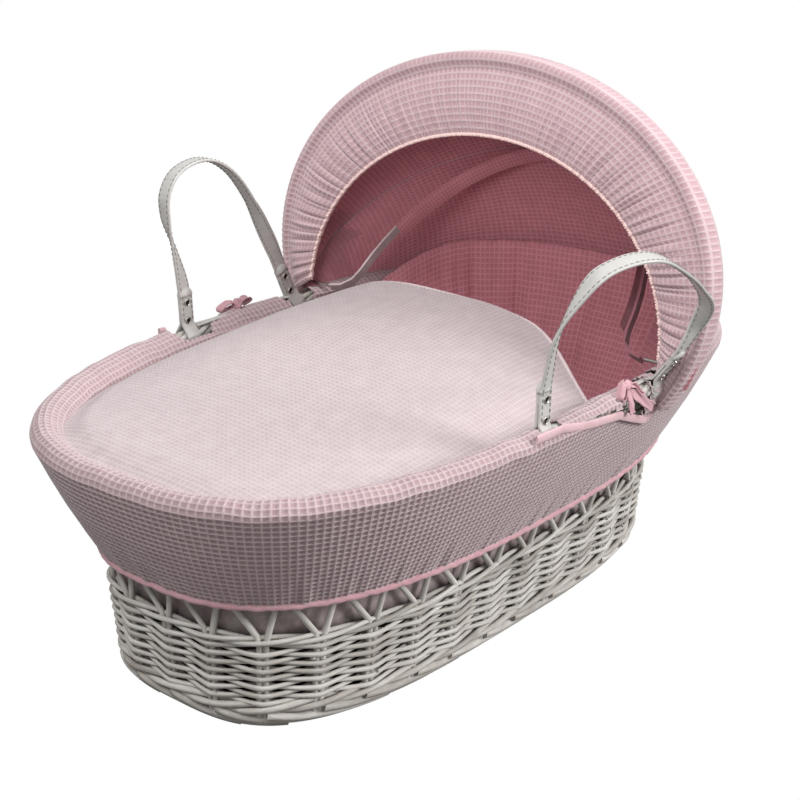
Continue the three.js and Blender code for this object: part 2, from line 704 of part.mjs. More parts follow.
for (const [label, handle] of Object.entries({ left: LEFT_HANDLE, right: RIGHT_HANDLE })) {
  add(`handle_${label}`, makeHandle(handle), 'leather');
  add(`rim_strap_${label}`, makeRimStrap(handle), 'leather');
  handle.legs.forEach((leg, i) => RIVET.radii.forEach((reach, j) => {
    const place = `${['foot', 'head'][i]}_${['low', 'high'][j]}`;
    add(`rivet_${label}_${place}`, makeRivet(handle.side, leg, reach), 'nickel');
  }));
}

for (const [label, tie] of Object.entries(TIES)) {
  add(`tie_knot_${label}`, makeTieKnot(tie), 'trim');
  for (const [end, way] of [['foot', -1], ['head', 1]]) {
    add(`tie_loop_${label}_${end}`, makeTieLoop(tie, way), 'trim');
    add(`tie_tail_${label}_${end}`, makeTieTail(tie, way), 'trim');
  }
}

export default basket;
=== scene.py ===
"""Wicker baby basket with a waffle-cloth dressing, hood, coverlet and leather handles.

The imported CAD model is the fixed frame. Sizes here are in millimetres in that frame and become metres
when a mesh is made. +X runs from the foot end to the head end, +Y is the left side, +Z is up.
"""
import math

import bpy
import numpy as np
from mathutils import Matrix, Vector


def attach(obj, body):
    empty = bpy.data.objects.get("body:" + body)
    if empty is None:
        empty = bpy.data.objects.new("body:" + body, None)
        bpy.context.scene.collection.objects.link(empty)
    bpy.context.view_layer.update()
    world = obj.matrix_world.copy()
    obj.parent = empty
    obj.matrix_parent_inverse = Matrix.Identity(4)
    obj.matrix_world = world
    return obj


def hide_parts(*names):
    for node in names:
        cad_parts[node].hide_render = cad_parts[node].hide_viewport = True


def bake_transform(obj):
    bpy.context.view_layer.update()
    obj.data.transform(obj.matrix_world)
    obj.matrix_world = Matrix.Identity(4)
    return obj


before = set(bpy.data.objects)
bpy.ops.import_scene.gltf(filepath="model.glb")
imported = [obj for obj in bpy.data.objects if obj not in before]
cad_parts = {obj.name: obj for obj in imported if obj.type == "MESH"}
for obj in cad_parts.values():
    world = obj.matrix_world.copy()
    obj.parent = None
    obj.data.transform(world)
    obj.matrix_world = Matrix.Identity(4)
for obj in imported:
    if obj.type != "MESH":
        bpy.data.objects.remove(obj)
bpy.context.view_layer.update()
TO_METRES = 0.001
RANDOM = np.random.default_rng(7)

# ---------------------------------------------------------------- driving dimensions, as in the CAD
WALL_Z = np.array([0.0, 104.0, 140.0, 265.0])
WALL_FOOT = np.array([352.0, 360.0, 362.0, 405.0])
WALL_HEAD = np.array([337.0, 336.0, 352.0, 405.0])
WALL_HALF = np.array([164.0, 181.0, 189.0, 248.0])
WALL_POWER = np.array([3.2, 3.1, 2.75, 2.82])
RIM_Z, RIM_FOOT, RIM_HALF, RIM_POWER = 265.0, 405.0, 248.0, 2.82
FOOT_DIP, DIP_START = 14.0, 140.0
BAND_LOW, BAND_HIGH, WEAVE_TOP = 104.0, 141.0, 250.0
RIM_RADIUS = 9.0
HEM_Z = 143.0
HEM_OVAL = (372.0, 371.0, 199.0, 2.7)
ROLL = 14.0
PIVOT_X, PIVOT_Z = 127.0, 283.0
FRONT = {"lean": 8, "centre": 70, "half": 296, "rise": 226, "foot": -20}  # 5 mm inside the CAD cloth
MOUTH = {"centre": 6, "half": 245, "rise": 201, "foot": 4}
MIDDLE = {"lean": 48, "centre": 2, "half": 188, "rise": 243}
MIDDLE_FABRIC = {"centre": 20, "half": 268, "rise": 232}
REAR_FABRIC = {"lean": 88, "foot": 411, "half": 255, "power": 2.7}
CANOPY_SAG, CANOPY_LOW = 11.0, -3.0
FOLD = 22.0                    # half the width of a strip about each canopy panel's bend line; its ends are worked out but not used
CANOPY_DROP = 18.0             # how far the canopy's lower edge hangs past the roll
HANG_TOP, HANG_DEPTH = 278.0, 50.0     # it hangs from this level, and in full this far below
HANG_X, HANG_FADE = 220.0, 110.0       # and less and less from this x on, over this length
HANDLE_Y, HANDLE_Z = 246.8, 264.8

# ---------------------------------------------------------------- dimensions of the finer pieces
PAIRS = 32                     # stake pairs round the basket
STRIDE = 8                     # weaver points from one stake pair to the next
WALL_MIDDLE = 5.5              # from the wall's outer face to the stakes
CELL = 6.8                     # waffle cell of the skirt and hood, up the cloth
CELL_WIDE = 7.5                # and across it
PER_CELL = 3                   # mesh steps across a waffle cell
CELL_DEPTH = 1.9
WEAVER_THICK, WEAVER_HIGH = 2.2, 2.9   # half sizes of a flat weaver
WEAVER_PROUD, WEAVER_SLOPE = 4.6, 2.2  # how far it swings out of the wall, and up and down
CUT_END = 2.0                  # the tone that marks a rod's cut end
CANOPY_THICK, BRIM_THICK, RIBBON_THICK = 1.8, 1.6, 1.1


# ---------------------------------------------------------------- numbers
def mix(a, b, t):
    return a + (b - a) * t


def smooth(t):
    """An even start and end between 0 and 1."""
    t = np.clip(t, 0.0, 1.0)
    return t * t * (3 - 2 * t)


def unit(v):
    return v / np.maximum(np.linalg.norm(v, axis=-1, keepdims=True), 1e-9)


def waves(t, counts, seed):
    """A smooth irregular line round a closed ring: t runs from 0 to 1, counts are whole numbers of waves."""
    phases = np.random.default_rng(seed).uniform(0, 2 * math.pi, len(counts))
    total = sum(np.sin(2 * math.pi * n * t + p) for n, p in zip(counts, phases))
    return total / len(counts)


def running(points):
    """The length along a line of points, up to each of them."""
    return np.concatenate([[0], np.cumsum(np.linalg.norm(np.diff(points, axis=0), axis=1))])


def ring_length(points):
    return float(np.linalg.norm(points - np.roll(points, -1, 0), axis=1).sum())


def ring_columns(count):
    """Even shares of the way round a ring."""
    return np.arange(count) / count


def half_width(x, length, half, power):
    """Half the width of an oval at x."""
    return half * (1 - np.abs(x / length) ** power) ** (1 / power)


# ---------------------------------------------------------------- the basket's oval
def oval_point(angle, oval, inset, z):
    """A point of a rounded oval, inset from its line; towards the foot end the upper levels dip a little."""
    foot, head, half, power = oval
    c, s = np.cos(angle), np.sin(angle)
    length = np.where(c < 0, foot, head)
    scale = (np.abs(c) ** power + np.abs(s) ** power) ** (-1 / power)
    nx = np.sign(c) * np.abs(c * scale) ** (power - 1) / length
    ny = np.sign(s) * np.abs(s * scale) ** (power - 1) / half
    norm = np.hypot(nx, ny)
    x = length * c * scale - inset * nx / norm
    y = half * s * scale - inset * ny / norm
    rise = np.clip((z - DIP_START) / (RIM_Z - DIP_START), 0, 1)
    dip = FOOT_DIP * np.clip(-x / RIM_FOOT, 0, 1) ** 2 * rise
    return np.stack(np.broadcast_arrays(x, y, z - dip), -1)


def wall_oval(z):
    """The wall's outer oval at a level: its foot, head, half width and power."""
    return tuple(np.interp(z, WALL_Z, row) for row in (WALL_FOOT, WALL_HEAD, WALL_HALF, WALL_POWER))


RIM_OVAL = wall_oval(RIM_Z)
ANGLES = np.linspace(0, 2 * math.pi, 4001)
ROUND = oval_point(ANGLES, wall_oval(BAND_LOW), 0, 0.0)
STEPS_ROUND = running(ROUND)
PERIMETER = STEPS_ROUND[-1]


def turn(t):
    """The oval's angle at a share t of the way round it, counted from the head end towards the left side."""
    t = np.asarray(t, float)
    return np.interp(t % 1.0, STEPS_ROUND / PERIMETER, ANGLES)


def wall_point(t, z, inset):
    return oval_point(turn(t), wall_oval(z), inset, z)


def wall_out(t, z):
    """The level direction out of the wall."""
    return unit((wall_point(t, z, 0.0) - wall_point(t, z, 1.0)) * np.array([1, 1, 0]))


# ---------------------------------------------------------------- meshes
def grid_faces(rows, cols, wrap_rows=False, wrap_cols=False, per_cell=1):
    """Faces of a grid of points and each face corner's place on the cloth, in waffle cells."""
    i, j = np.meshgrid(np.arange(rows if wrap_rows else rows - 1),
                       np.arange(cols if wrap_cols else cols - 1), indexing="ij")
    corners = [(i, j), (i + 1, j), (i + 1, j + 1), (i, j + 1)]
    faces = np.stack([(a % rows) * cols + b % cols for a, b in corners], -1).reshape(-1, 4)
    uv = np.stack([np.stack([a, b], -1) for a, b in corners], 2).reshape(-1, 4, 2) / per_cell
    return faces, uv


def make_mesh(name, points, faces, materials, uv=None, tone=None):
    """A smooth mesh of points in millimetres. Corners that uv doesn't reach lie at the cloth's origin."""
    mesh = bpy.data.meshes.new(name)
    points = np.asarray(points, float).reshape(-1, 3) * TO_METRES
    mesh.from_pydata(points.tolist(), [], faces.tolist() if isinstance(faces, np.ndarray) else faces)
    mesh.polygons.foreach_set("use_smooth", np.ones(len(mesh.polygons), bool))
    if uv is not None:
        given = np.asarray(uv, np.float32).ravel()
        corners = np.zeros(2 * len(mesh.loops), np.float32)
        corners[:len(given)] = given
        mesh.uv_layers.new(name="cloth").data.foreach_set("uv", corners)
    if tone is not None:
        attribute = mesh.attributes.new("tone", "FLOAT", "POINT")
        attribute.data.foreach_set("value", np.asarray(tone, np.float32).ravel())
    for material in materials if isinstance(materials, list) else [materials]:
        mesh.materials.append(material)
    obj = bpy.data.objects.new(name, mesh)
    bpy.context.scene.collection.objects.link(obj)
    return obj


def part_mesh(name, points, faces, kept, material, uv):
    """A mesh of only the kept faces of a grid, with the points that they use."""
    used, renumbered = np.unique(faces[kept], return_inverse=True)
    return make_mesh(name, points.reshape(-1, 3)[used], renumbered.reshape(-1, 4), material, uv[kept])


def show_node(name, material):
    """Shows a CAD node as it is, in one finish."""
    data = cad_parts[name].data
    data.materials.clear()
    data.materials.append(material)
    return data


def thicken(obj, thickness, offset, inside=0):
    """Gives cloth its thickness; inside is the material slot of its wrong side."""
    made = obj.modifiers.new("thickness", "SOLIDIFY")
    made.thickness = thickness * TO_METRES
    made.offset = offset
    made.material_offset = inside
    graph = bpy.context.evaluated_depsgraph_get()
    solid = bpy.data.meshes.new_from_object(obj.evaluated_get(graph), depsgraph=graph)
    obj.modifiers.clear()
    obj.data = solid


def place(obj, body, slot, *nodes):
    """Rides a finished piece on a body and hides the CAD nodes that it stands for; slot, its finish's name,
    is not used.
    """
    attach(obj, body)
    if nodes:
        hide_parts(*nodes)
    return obj


def grid_normals(points, wrap_rows):
    if wrap_rows:
        down = np.roll(points, -1, 0) - np.roll(points, 1, 0)
    else:
        down = np.gradient(points, axis=0)
    return unit(np.cross(down, np.gradient(points, axis=1)))


def waffle(points, sign, depth, wrap_rows=False):
    """Sinks the middle of each cell of a cloth grid, which leaves the woven ridges standing."""
    normals = grid_normals(points, wrap_rows)
    rows, cols = points.shape[:2]
    i, j = np.meshgrid(np.arange(rows) % PER_CELL, np.arange(cols) % PER_CELL, indexing="ij")
    low = ((i > 0) & (j > 0)).astype(float)
    return points - sign * normals * (low * depth)[..., None]


class Soup:
    """Many small bodies gathered into one mesh."""

    def __init__(self):
        self.points, self.faces, self.uv, self.tone, self.count = [], [], [], [], 0

    def add(self, points, faces, uv=(), tone=0.5):
        """Adds a body whose faces are lists. Corners that uv doesn't reach lie at the cloth's origin."""
        points = np.asarray(points, float).reshape(-1, 3)
        given = np.reshape(uv, (-1, 2))
        corners = np.zeros((sum(len(face) for face in faces), 2))
        corners[:len(given)] = given
        self.points.append(points)
        self.faces += [[k + self.count for k in face] for face in faces]
        self.uv.append(corners)
        self.tone.append(np.broadcast_to(tone, (len(points),)))
        self.count += len(points)

    def mesh(self, name, material):
        return make_mesh(name, np.concatenate(self.points), self.faces, material,
                         np.concatenate(self.uv), np.concatenate(self.tone))


def rod_points(path, side, thick, high, sides, closed):
    along = np.roll(path, -1, 0) - np.roll(path, 1, 0) if closed else np.gradient(path, axis=0)
    along = unit(along)
    side = unit(side - (side * along).sum(-1, keepdims=True) * along)
    up = np.cross(along, side)
    around = 2 * math.pi * (np.arange(sides) + 0.5) / sides
    thick = np.broadcast_to(thick, (len(path),))[:, None, None]
    high = np.broadcast_to(high, (len(path),))[:, None, None]
    ring = (side[:, None] * thick * np.cos(around)[None, :, None]
            + up[:, None] * high * np.sin(around)[None, :, None])
    return (path[:, None] + ring).reshape(-1, 3)


def add_rod(soup, path, side, thick, high, tone, sides=8, closed=False):
    """A rod along path. side points out of the rod, thick and high are half sizes, and open ends are cut."""
    points = rod_points(path, side, thick, high, sides, closed)
    faces, uv = grid_faces(len(path), sides, closed, True)
    run = np.append(running(path), ring_length(path))
    uv = np.stack([run[uv[..., 0].astype(int)], uv[..., 1] / sides], -1)
    faces = faces.tolist()
    tones = np.repeat(np.broadcast_to(tone, (len(path),)), sides)
    if not closed:
        count, last = len(points), len(points) - sides
        faces += [[count, (j + 1) % sides, j] for j in range(sides)]
        faces += [[count + 1, last + j, last + (j + 1) % sides] for j in range(sides)]
        points = np.concatenate([points, path[:1], path[-1:]])
        tones = np.append(tones, [CUT_END, CUT_END])
    soup.add(points, faces, uv, tones)


# ---------------------------------------------------------------- materials
def colour(red, green, blue):
    """A display colour of 0 to 255 as the linear colour that shaders use."""
    return tuple(((v / 255 + 0.055) / 1.055) ** 2.4 for v in (red, green, blue)) + (1.0,)


class Shader:
    """A material with one Principled surface, and short ways to add nodes to it."""

    def __init__(self, name, roughness, **fixed):
        self.material = bpy.data.materials.new(name)
        self.material.use_nodes = True
        self.tree = self.material.node_tree
        self.surface = self.tree.nodes["Principled BSDF"]
        self.surface.inputs["Roughness"].default_value = roughness
        for socket, value in fixed.items():
            self.surface.inputs[socket.replace("_", " ")].default_value = value

    def node(self, kind, *inputs, **settings):
        made = self.tree.nodes.new("ShaderNode" + kind)
        for key, value in settings.items():
            setattr(made, key, value)
        for socket, value in zip(made.inputs, inputs):
            if value is None:
                continue
            if isinstance(value, bpy.types.NodeSocket):
                self.tree.links.new(value, socket)
            else:
                socket.default_value = value
        return made

    def maths(self, operation, a, b):
        return self.node("Math", a, b, operation=operation).outputs[0]

    def place_on(self, kind):
        return self.node("TexCoord").outputs[kind]

    def noise(self, where, scale, detail=3.0, stretch=None, rough=0.55):
        if stretch is not None:
            where = self.node("Mapping", where, None, None, stretch).outputs[0]
        made = self.node("TexNoise", where)
        made.inputs["Scale"].default_value = scale
        made.inputs["Detail"].default_value = detail
        made.inputs["Roughness"].default_value = rough
        return made.outputs["Fac"]

    def ramp(self, value, *stops):
        made = self.node("ValToRGB", value)
        ramp = made.color_ramp
        while len(ramp.elements) < len(stops):
            ramp.elements.new(0.5)
        for element, (position, shade) in zip(ramp.elements, stops):
            element.position = position
            element.color = shade
        return made.outputs["Color"]

    def blend(self, share, a, b, mode="MIX"):
        made = self.node("Mix", data_type="RGBA", blend_type=mode)
        for socket, value in ((0, share), (6, a), (7, b)):
            if isinstance(value, bpy.types.NodeSocket):
                self.tree.links.new(value, made.inputs[socket])
            else:
                made.inputs[socket].default_value = value
        return made.outputs[2]

    def colour_from(self, socket):
        self.tree.links.new(socket, self.surface.inputs["Base Color"])

    def bump(self, height, distance, strength=1.0):
        made = self.node("Bump")
        made.inputs["Strength"].default_value = strength
        made.inputs["Distance"].default_value = distance
        self.tree.links.new(height, made.inputs["Height"])
        old = self.surface.inputs["Normal"]
        if old.is_linked:
            self.tree.links.new(old.links[0].from_socket, made.inputs["Normal"])
        self.tree.links.new(made.outputs[0], old)


def waffle_material(name, ridge, cell, depth=0.0006):
    """Waffle cloth: pale woven ridges round deeper square cells, painted darker as shade in them, by the
    cloth's own grid.
    """
    ridge_end, cell_start = 0.07, 0.20
    s = Shader(name, 0.92, Sheen_Weight=0.25, Sheen_Roughness=0.5, Specular_IOR_Level=0.15)
    parts = s.node("SeparateXYZ", s.place_on("UV"))
    across = s.maths("PINGPONG", parts.outputs[0], 0.5)
    along = s.maths("PINGPONG", parts.outputs[1], 0.5)
    ridge_near = s.maths("MINIMUM", across, along)
    inside = s.node("MapRange", ridge_near, ridge_end, cell_start, 0.0, 1.0,
                    interpolation_type="SMOOTHSTEP")
    where = s.place_on("Object")
    mottled = s.noise(where, 60, 4)
    threads = s.noise(where, 1400, 2)
    # Painted shade: the cells take the darker cell colour, for the shade that falls in them.
    base = s.blend(inside.outputs[0], ridge, cell)
    worn = s.ramp(mottled, (0.3, (0.90, 0.88, 0.89, 1)), (0.7, (1.0, 1.0, 1.0, 1)))
    fibre = s.ramp(threads, (0.25, (0.86, 0.84, 0.85, 1)), (0.75, (1.0, 1.0, 1.0, 1)))
    s.colour_from(s.blend(1.0, s.blend(1.0, base, worn, "MULTIPLY"), fibre, "MULTIPLY"))
    s.bump(s.maths("SUBTRACT", 1.0, inside.outputs[0]), depth, 0.6)
    s.bump(threads, 0.0003, 0.5)
    return s.material


def cloth_material(name, pale, dark):
    """Plain woven cloth with a soft mottle."""
    s = Shader(name, 0.9, Sheen_Weight=0.2, Sheen_Roughness=0.5, Specular_IOR_Level=0.2)
    where = s.place_on("Object")
    base = s.ramp(s.noise(where, 40, 5), (0.3, dark), (0.7, pale))
    threads = s.noise(where, 900, 2)
    fibre = s.ramp(threads, (0.25, (0.84, 0.83, 0.84, 1)), (0.75, (1.0, 1.0, 1.0, 1)))
    s.colour_from(s.blend(1.0, base, fibre, "MULTIPLY"))
    s.bump(threads, 0.0003, 0.6)
    return s.material


def lining_material():
    """Thin pinkish grey cloth behind the open band, with painted shade low down, where the weave covers it.
    """
    s = Shader("lining_fabric", 0.95, Sheen_Weight=0.1, Specular_IOR_Level=0.15)
    where = s.place_on("Object")
    stains = s.noise(where, 45, 6, rough=0.65)
    base = s.ramp(stains, (0.32, colour(132, 116, 116)), (0.68, colour(186, 172, 172)))
    # Painted shade: below about 0.1 m the cloth turns near black, for the shade behind the weave.
    height = s.node("SeparateXYZ", where).outputs[2]
    above = s.node("MapRange", height, 0.098, 0.112, 0.0, 1.0).outputs[0]
    s.colour_from(s.blend(above, colour(58, 50, 48), base))
    s.bump(s.noise(where, 700, 3), 0.0004, 0.5)
    return s.material


def willow_material():
    """Grey washed willow: streaks along each rod, a tone for each rod and raw wood at its cut ends."""
    s = Shader("willow", 0.72, Specular_IOR_Level=0.3)
    tone = s.node("Attribute", attribute_name="tone").outputs["Fac"]
    wash = s.ramp(tone, (0.0, colour(158, 153, 147)), (0.5, colour(189, 185, 180)),
                  (1.0, colour(206, 203, 199)))
    grain = s.noise(s.place_on("UV"), 1.0, 4, stretch=(0.05, 9.0, 1.0))
    streak = s.ramp(grain, (0.28, (0.74, 0.72, 0.69, 1)), (0.62, (1.0, 1.0, 1.0, 1)))
    patches = s.ramp(s.noise(s.place_on("Object"), 28, 3), (0.3, (0.88, 0.86, 0.84, 1)),
                     (0.6, (1, 1, 1, 1)))
    washed = s.blend(1.0, s.blend(1.0, wash, streak, "MULTIPLY"), patches, "MULTIPLY")
    cut = s.node("MapRange", tone, 1.3, 1.9, 0.0, 1.0).outputs[0]
    s.colour_from(s.blend(cut, washed, colour(186, 158, 124)))
    s.bump(grain, 0.0007, 0.45)
    return s.material


def leather_material():
    s = Shader("strap_leather", 0.42, Specular_IOR_Level=0.45, Coat_Weight=0.08, Coat_Roughness=0.35)
    where = s.place_on("Object")
    pebble = s.node("TexVoronoi", where, feature="DISTANCE_TO_EDGE")
    pebble.inputs["Scale"].default_value = 900
    crease = s.noise(where, 120, 5)
    s.colour_from(s.ramp(crease, (0.25, colour(182, 180, 176)), (0.75, colour(196, 194, 190))))
    s.bump(pebble.outputs["Distance"], 0.0003, 0.35)
    s.bump(crease, 0.0004, 0.2)
    return s.material


def speckled_material(name, roughness, dark, pale, scale, detail, **fixed):
    """A finish with one fine speckle. Returns the shader and the speckle, so that a bump can be added."""
    s = Shader(name, roughness, **fixed)
    speckle = s.noise(s.place_on("Object"), scale, detail)
    s.colour_from(s.ramp(speckle, (0.3, dark), (0.7, pale)))
    return s, speckle


def thread_material(name, pale, dark):
    return speckled_material(name, 0.8, dark, pale, 900, 2, Specular_IOR_Level=0.2)[0].material


def nickel_material():
    s, rub = speckled_material("nickel", 0.28, colour(150, 146, 138), colour(214, 211, 205), 700, 3,
                               Metallic=1.0)
    s.bump(rub, 0.0001, 0.3)
    return s.material


def foam_material():
    s, pores = speckled_material("foam", 0.95, colour(214, 206, 190), colour(240, 235, 224), 600, 3,
                                 Specular_IOR_Level=0.1)
    s.bump(pores, 0.0008, 0.6)
    return s.material


def board_material():
    """Plain hardboard with a pale wash."""
    s = Shader("board", 0.8, Specular_IOR_Level=0.25)
    where = s.place_on("Object")
    grain = s.noise(where, 30, 6, stretch=(0.15, 1.0, 1.0))
    s.colour_from(s.ramp(grain, (0.3, colour(140, 132, 122)), (0.7, colour(176, 169, 160))))
    s.bump(s.noise(where, 500, 3), 0.0003, 0.5)
    return s.material


def floor_material():
    """A plain white ground in the picture that throws only a little light back on the basket."""
    s = Shader("floor", 0.85, Specular_IOR_Level=0.0)
    s.surface.inputs["Base Color"].default_value = colour(118, 118, 118)
    bright = s.node("Emission", (1.0, 1.0, 1.0, 1.0), 1.0)
    seen = s.node("LightPath").outputs["Is Camera Ray"]
    both = s.node("MixShader", seen, s.surface.outputs[0], bright.outputs[0])
    s.tree.links.new(both.outputs[0], s.tree.nodes["Material Output"].inputs["Surface"])
    return s.material


# One waffle cloth in lit and shaded copies: the skirt's darker as painted shade on its sides, the coverlet's
# paler as painted light on the top.
WAFFLE_SHADED_SIDE = waffle_material("waffle_skirt_painted_shade", colour(202, 183, 185), colour(176, 153, 155))
WAFFLE_LIT_TOP = waffle_material("waffle_coverlet_painted_light", colour(204, 192, 193), colour(191, 176, 178))
WAFFLE_HOOD = waffle_material("waffle_hood", colour(214, 191, 194), colour(198, 166, 170))
# Deep pink for the cloth inside the hood and the bumper: painted shade, with painted light through the cloth.
WAFFLE_INSIDE_PAINTED_SHADE = waffle_material("waffle_inside_painted_shade", colour(236, 168, 178), colour(216, 140, 152), depth=0.0004)
TRIM = cloth_material("trim_fabric", colour(208, 166, 172), colour(196, 150, 158))
TRIM_PALE = cloth_material("trim_pale", colour(214, 198, 198), colour(205, 184, 187))
TRIM_SOFT = cloth_material("trim_soft", colour(218, 186, 190), colour(206, 170, 174))
LINING = lining_material()
WILLOW = willow_material()
LEATHER = leather_material()
THREAD = thread_material("stitch_thread", colour(150, 148, 142), colour(112, 110, 106))
EDGE_THREAD = thread_material("overlock_thread", colour(246, 226, 216), colour(226, 186, 186))
NICKEL = nickel_material()
STRIP = cloth_material("bow_strip", colour(196, 178, 178), colour(178, 158, 160))
STRIP_COVERED = cloth_material("bow_cover", colour(150, 98, 106), colour(134, 84, 92))
SHEET_CLOTH = cloth_material("sheet_cotton", colour(240, 226, 226), colour(230, 212, 213))
FOAM = foam_material()
BOARD = board_material()
# Near black for the painted shade in the rivets' hollows.
RIVET_HOLLOW_SHADE = thread_material("rivet_hollow_painted_shade", colour(40, 36, 32), colour(24, 22, 20))


# ---------------------------------------------------------------- wicker
def rod_tone(seed, t, joins):
    """One tone for each length of willow in a long strand, by its place round the basket."""
    tones = np.random.default_rng(seed).uniform(0.05, 1.0, joins)
    start = np.random.default_rng(seed + 99).uniform()
    return tones[np.floor((t + start) * joins).astype(int) % joins]


def weaver(row, t, z, seed):
    """One strand that passes outside one stake pair and inside the next."""
    swing = np.cos(math.pi * (t * PAIRS + row))
    sharp = np.arcsin(0.995 * swing) / math.asin(0.995)
    jitter = waves(t, (7, 11, 17, 23), seed)
    inset = WALL_MIDDLE - WEAVER_PROUD * sharp - 0.5 * waves(t, (5, 9, 13), seed + 1)
    level = z - WEAVER_SLOPE * sharp + 0.9 * jitter
    path = oval_point(turn(t), wall_oval(z), inset, level)
    high = WEAVER_HIGH * (0.72 + 0.28 * np.abs(sharp)) * (1 + 0.10 * waves(t, (6, 10, 14, 31), seed + 2))
    return path, wall_out(t, z), WEAVER_THICK, high


def make_weave(name, node, low, high, row_pitch, seed, stride):
    soup = Soup()
    t = ring_columns(PAIRS * stride)
    rows = int((high - low) / row_pitch)
    for row in range(rows):
        z = low + (row + 0.5) * (high - low) / rows
        path, side, thick, tall = weaver(row, t, z, seed + 10 * row)
        add_rod(soup, path, side, thick, tall, rod_tone(seed + row, t, 5), 8, True)
    return place(soup.mesh(name, WILLOW), "root", "willow", node)


def add_rope(soup, z, out_reach, up_reach, thick, seed):
    """A waled band: strands that wind round one another as they go round the basket."""
    strands, turns = 3, PAIRS // 3
    t = ring_columns(turns * 3 * STRIDE)
    for strand in range(strands):
        swing = 2 * math.pi * (t * turns + strand / strands)
        lay = WALL_MIDDLE - out_reach * np.cos(swing)
        level = z + up_reach * np.sin(swing) + 0.5 * waves(t, (5, 8, 13), seed + strand)
        path = oval_point(turn(t), wall_oval(z), lay, level)
        size = thick * (1 + 0.08 * waves(t, (9, 14, 22), seed + strand + 5))
        add_rod(soup, path, wall_out(t, z), size, size, rod_tone(seed + strand, t, 6), 8, True)


def stake_path(k, way):
    """A stake from the foot border up: upright in the weave, and one of each pair slants in the open band."""
    foot, low = way * 3.2, way * 4.5
    high = low + (5.0 if way > 0 else -32.0)
    levels = np.array([9, BAND_LOW - 4, BAND_LOW, BAND_HIGH - 2, BAND_HIGH + 6, WEAVE_TOP])
    shift = np.array([foot, foot, low, high, high, high])
    z = np.linspace(levels[0], levels[-1], 26)
    t = k / PAIRS + np.interp(z, levels, shift) / PERIMETER
    return oval_point(turn(t), wall_oval(z), WALL_MIDDLE, z), wall_out(t, z)


def make_stakes():
    soup = Soup()
    for k in range(PAIRS):
        for way in (-1, 1):
            path, side = stake_path(k, way)
            size = RANDOM.uniform(2.9, 3.4)
            add_rod(soup, path, side, size, size, RANDOM.uniform(0.5, 1.0), 8)
    return place(soup.mesh("stake_rods", WILLOW), "root", "willow", "stake_lattice")


def make_wales():
    soup = Soup()
    add_rope(soup, 100.5, 4.8, 3.0, 2.5, 301)
    add_rope(soup, 26.0, 4.9, 4.0, 3.3, 311)
    return place(soup.mesh("wale_bands", WILLOW), "root", "willow")


def make_foot_border():
    """Thick rods: each starts on top of the last one and dives under the next two."""
    soup = Soup()
    span = 2.5
    for k in range(PAIRS):
        q = np.linspace(0, 1, 18)
        t = (k + span * q + RANDOM.uniform(-0.12, 0.12)) / PAIRS
        size = RANDOM.uniform(4.5, 5.1) * (1 - 0.18 * q)
        level = mix(19.5, 4.4, q ** 0.75) + RANDOM.uniform(-0.7, 0.7)
        inset = mix(2.0, 12.5, q ** 1.2)
        path = oval_point(turn(t), wall_oval(10.0), inset, np.maximum(level, size))
        add_rod(soup, path, wall_out(t, 10.0), size, size, RANDOM.uniform(0.2, 1.0), 10)
    return place(soup.mesh("foot_border_rods", WILLOW), "root", "willow", "foot_border")


def make_rod_ends():
    """Cut ends of weavers that stand a little out of the weave beside a stake."""
    soup = Soup()
    for _ in range(46):
        k, z = RANDOM.integers(PAIRS), RANDOM.uniform(34, 92)
        way = RANDOM.choice((-1, 1))
        q = np.linspace(0, 1, 5)
        t = (k + 0.16 * way) / PAIRS - way * 15 * (1 - q) / PERIMETER
        inset = mix(8.0, 1.5, q)
        path = oval_point(turn(t), wall_oval(z), inset, z + 1.5 * q)
        add_rod(soup, path, wall_out(t, z), 2.5, 2.5, RANDOM.uniform(0.2, 0.8), 8)
    return place(soup.mesh("weaver_ends", WILLOW), "root", "willow")


def make_rim_border():
    """Strands that wind round one another on the rim."""
    soup = Soup()
    strands, turns, reach = 5, 18, 5.2
    t = ring_columns(PAIRS * STRIDE)
    centre = oval_point(turn(t), RIM_OVAL, 0.0, RIM_Z)
    out = wall_out(t, RIM_Z)
    for strand in range(strands):
        swing = 2 * math.pi * (t * turns + strand / strands)
        path = centre + out * (reach * np.cos(swing))[:, None]
        path[:, 2] += reach * np.sin(swing)
        add_rod(soup, path, out, 3.6, 3.6, rod_tone(400 + strand, t, 7), 8, True)
    return place(soup.mesh("rim_border_rods", WILLOW), "root", "willow", "rim_border")


def make_basket():
    make_foot_border()
    make_wales()
    make_weave("lower_weave", "side_weave_lower", 31, 96, 4.6, 500, STRIDE)
    make_stakes()
    make_rod_ends()
    make_weave("upper_weave", "side_weave_upper", 143, WEAVE_TOP, 5.0, 900, 4)
    make_rim_border()
    show_node("base_board", BOARD)


# ---------------------------------------------------------------- lining, mattress and bumper
def make_lining():
    t = ring_columns(480)
    z = np.linspace(22, 232, 44)
    tt, zz = np.meshgrid(t, z, indexing="ij")
    slack = 0.9 * waves(tt, (29, 41, 63, 88), 21) * np.sin(zz / 17) + 0.5 * waves(tt, (113, 151), 22)
    points = wall_point(tt, zz, 14.2 + slack)
    faces, uv = grid_faces(len(t), len(z), True)
    obj = make_mesh("lining_cloth", points, faces, LINING, uv)
    place(obj, "root", "lining_fabric", "wall_lining")
    return obj


MATTRESS_OVAL = (322, 306, 138, 3.2)


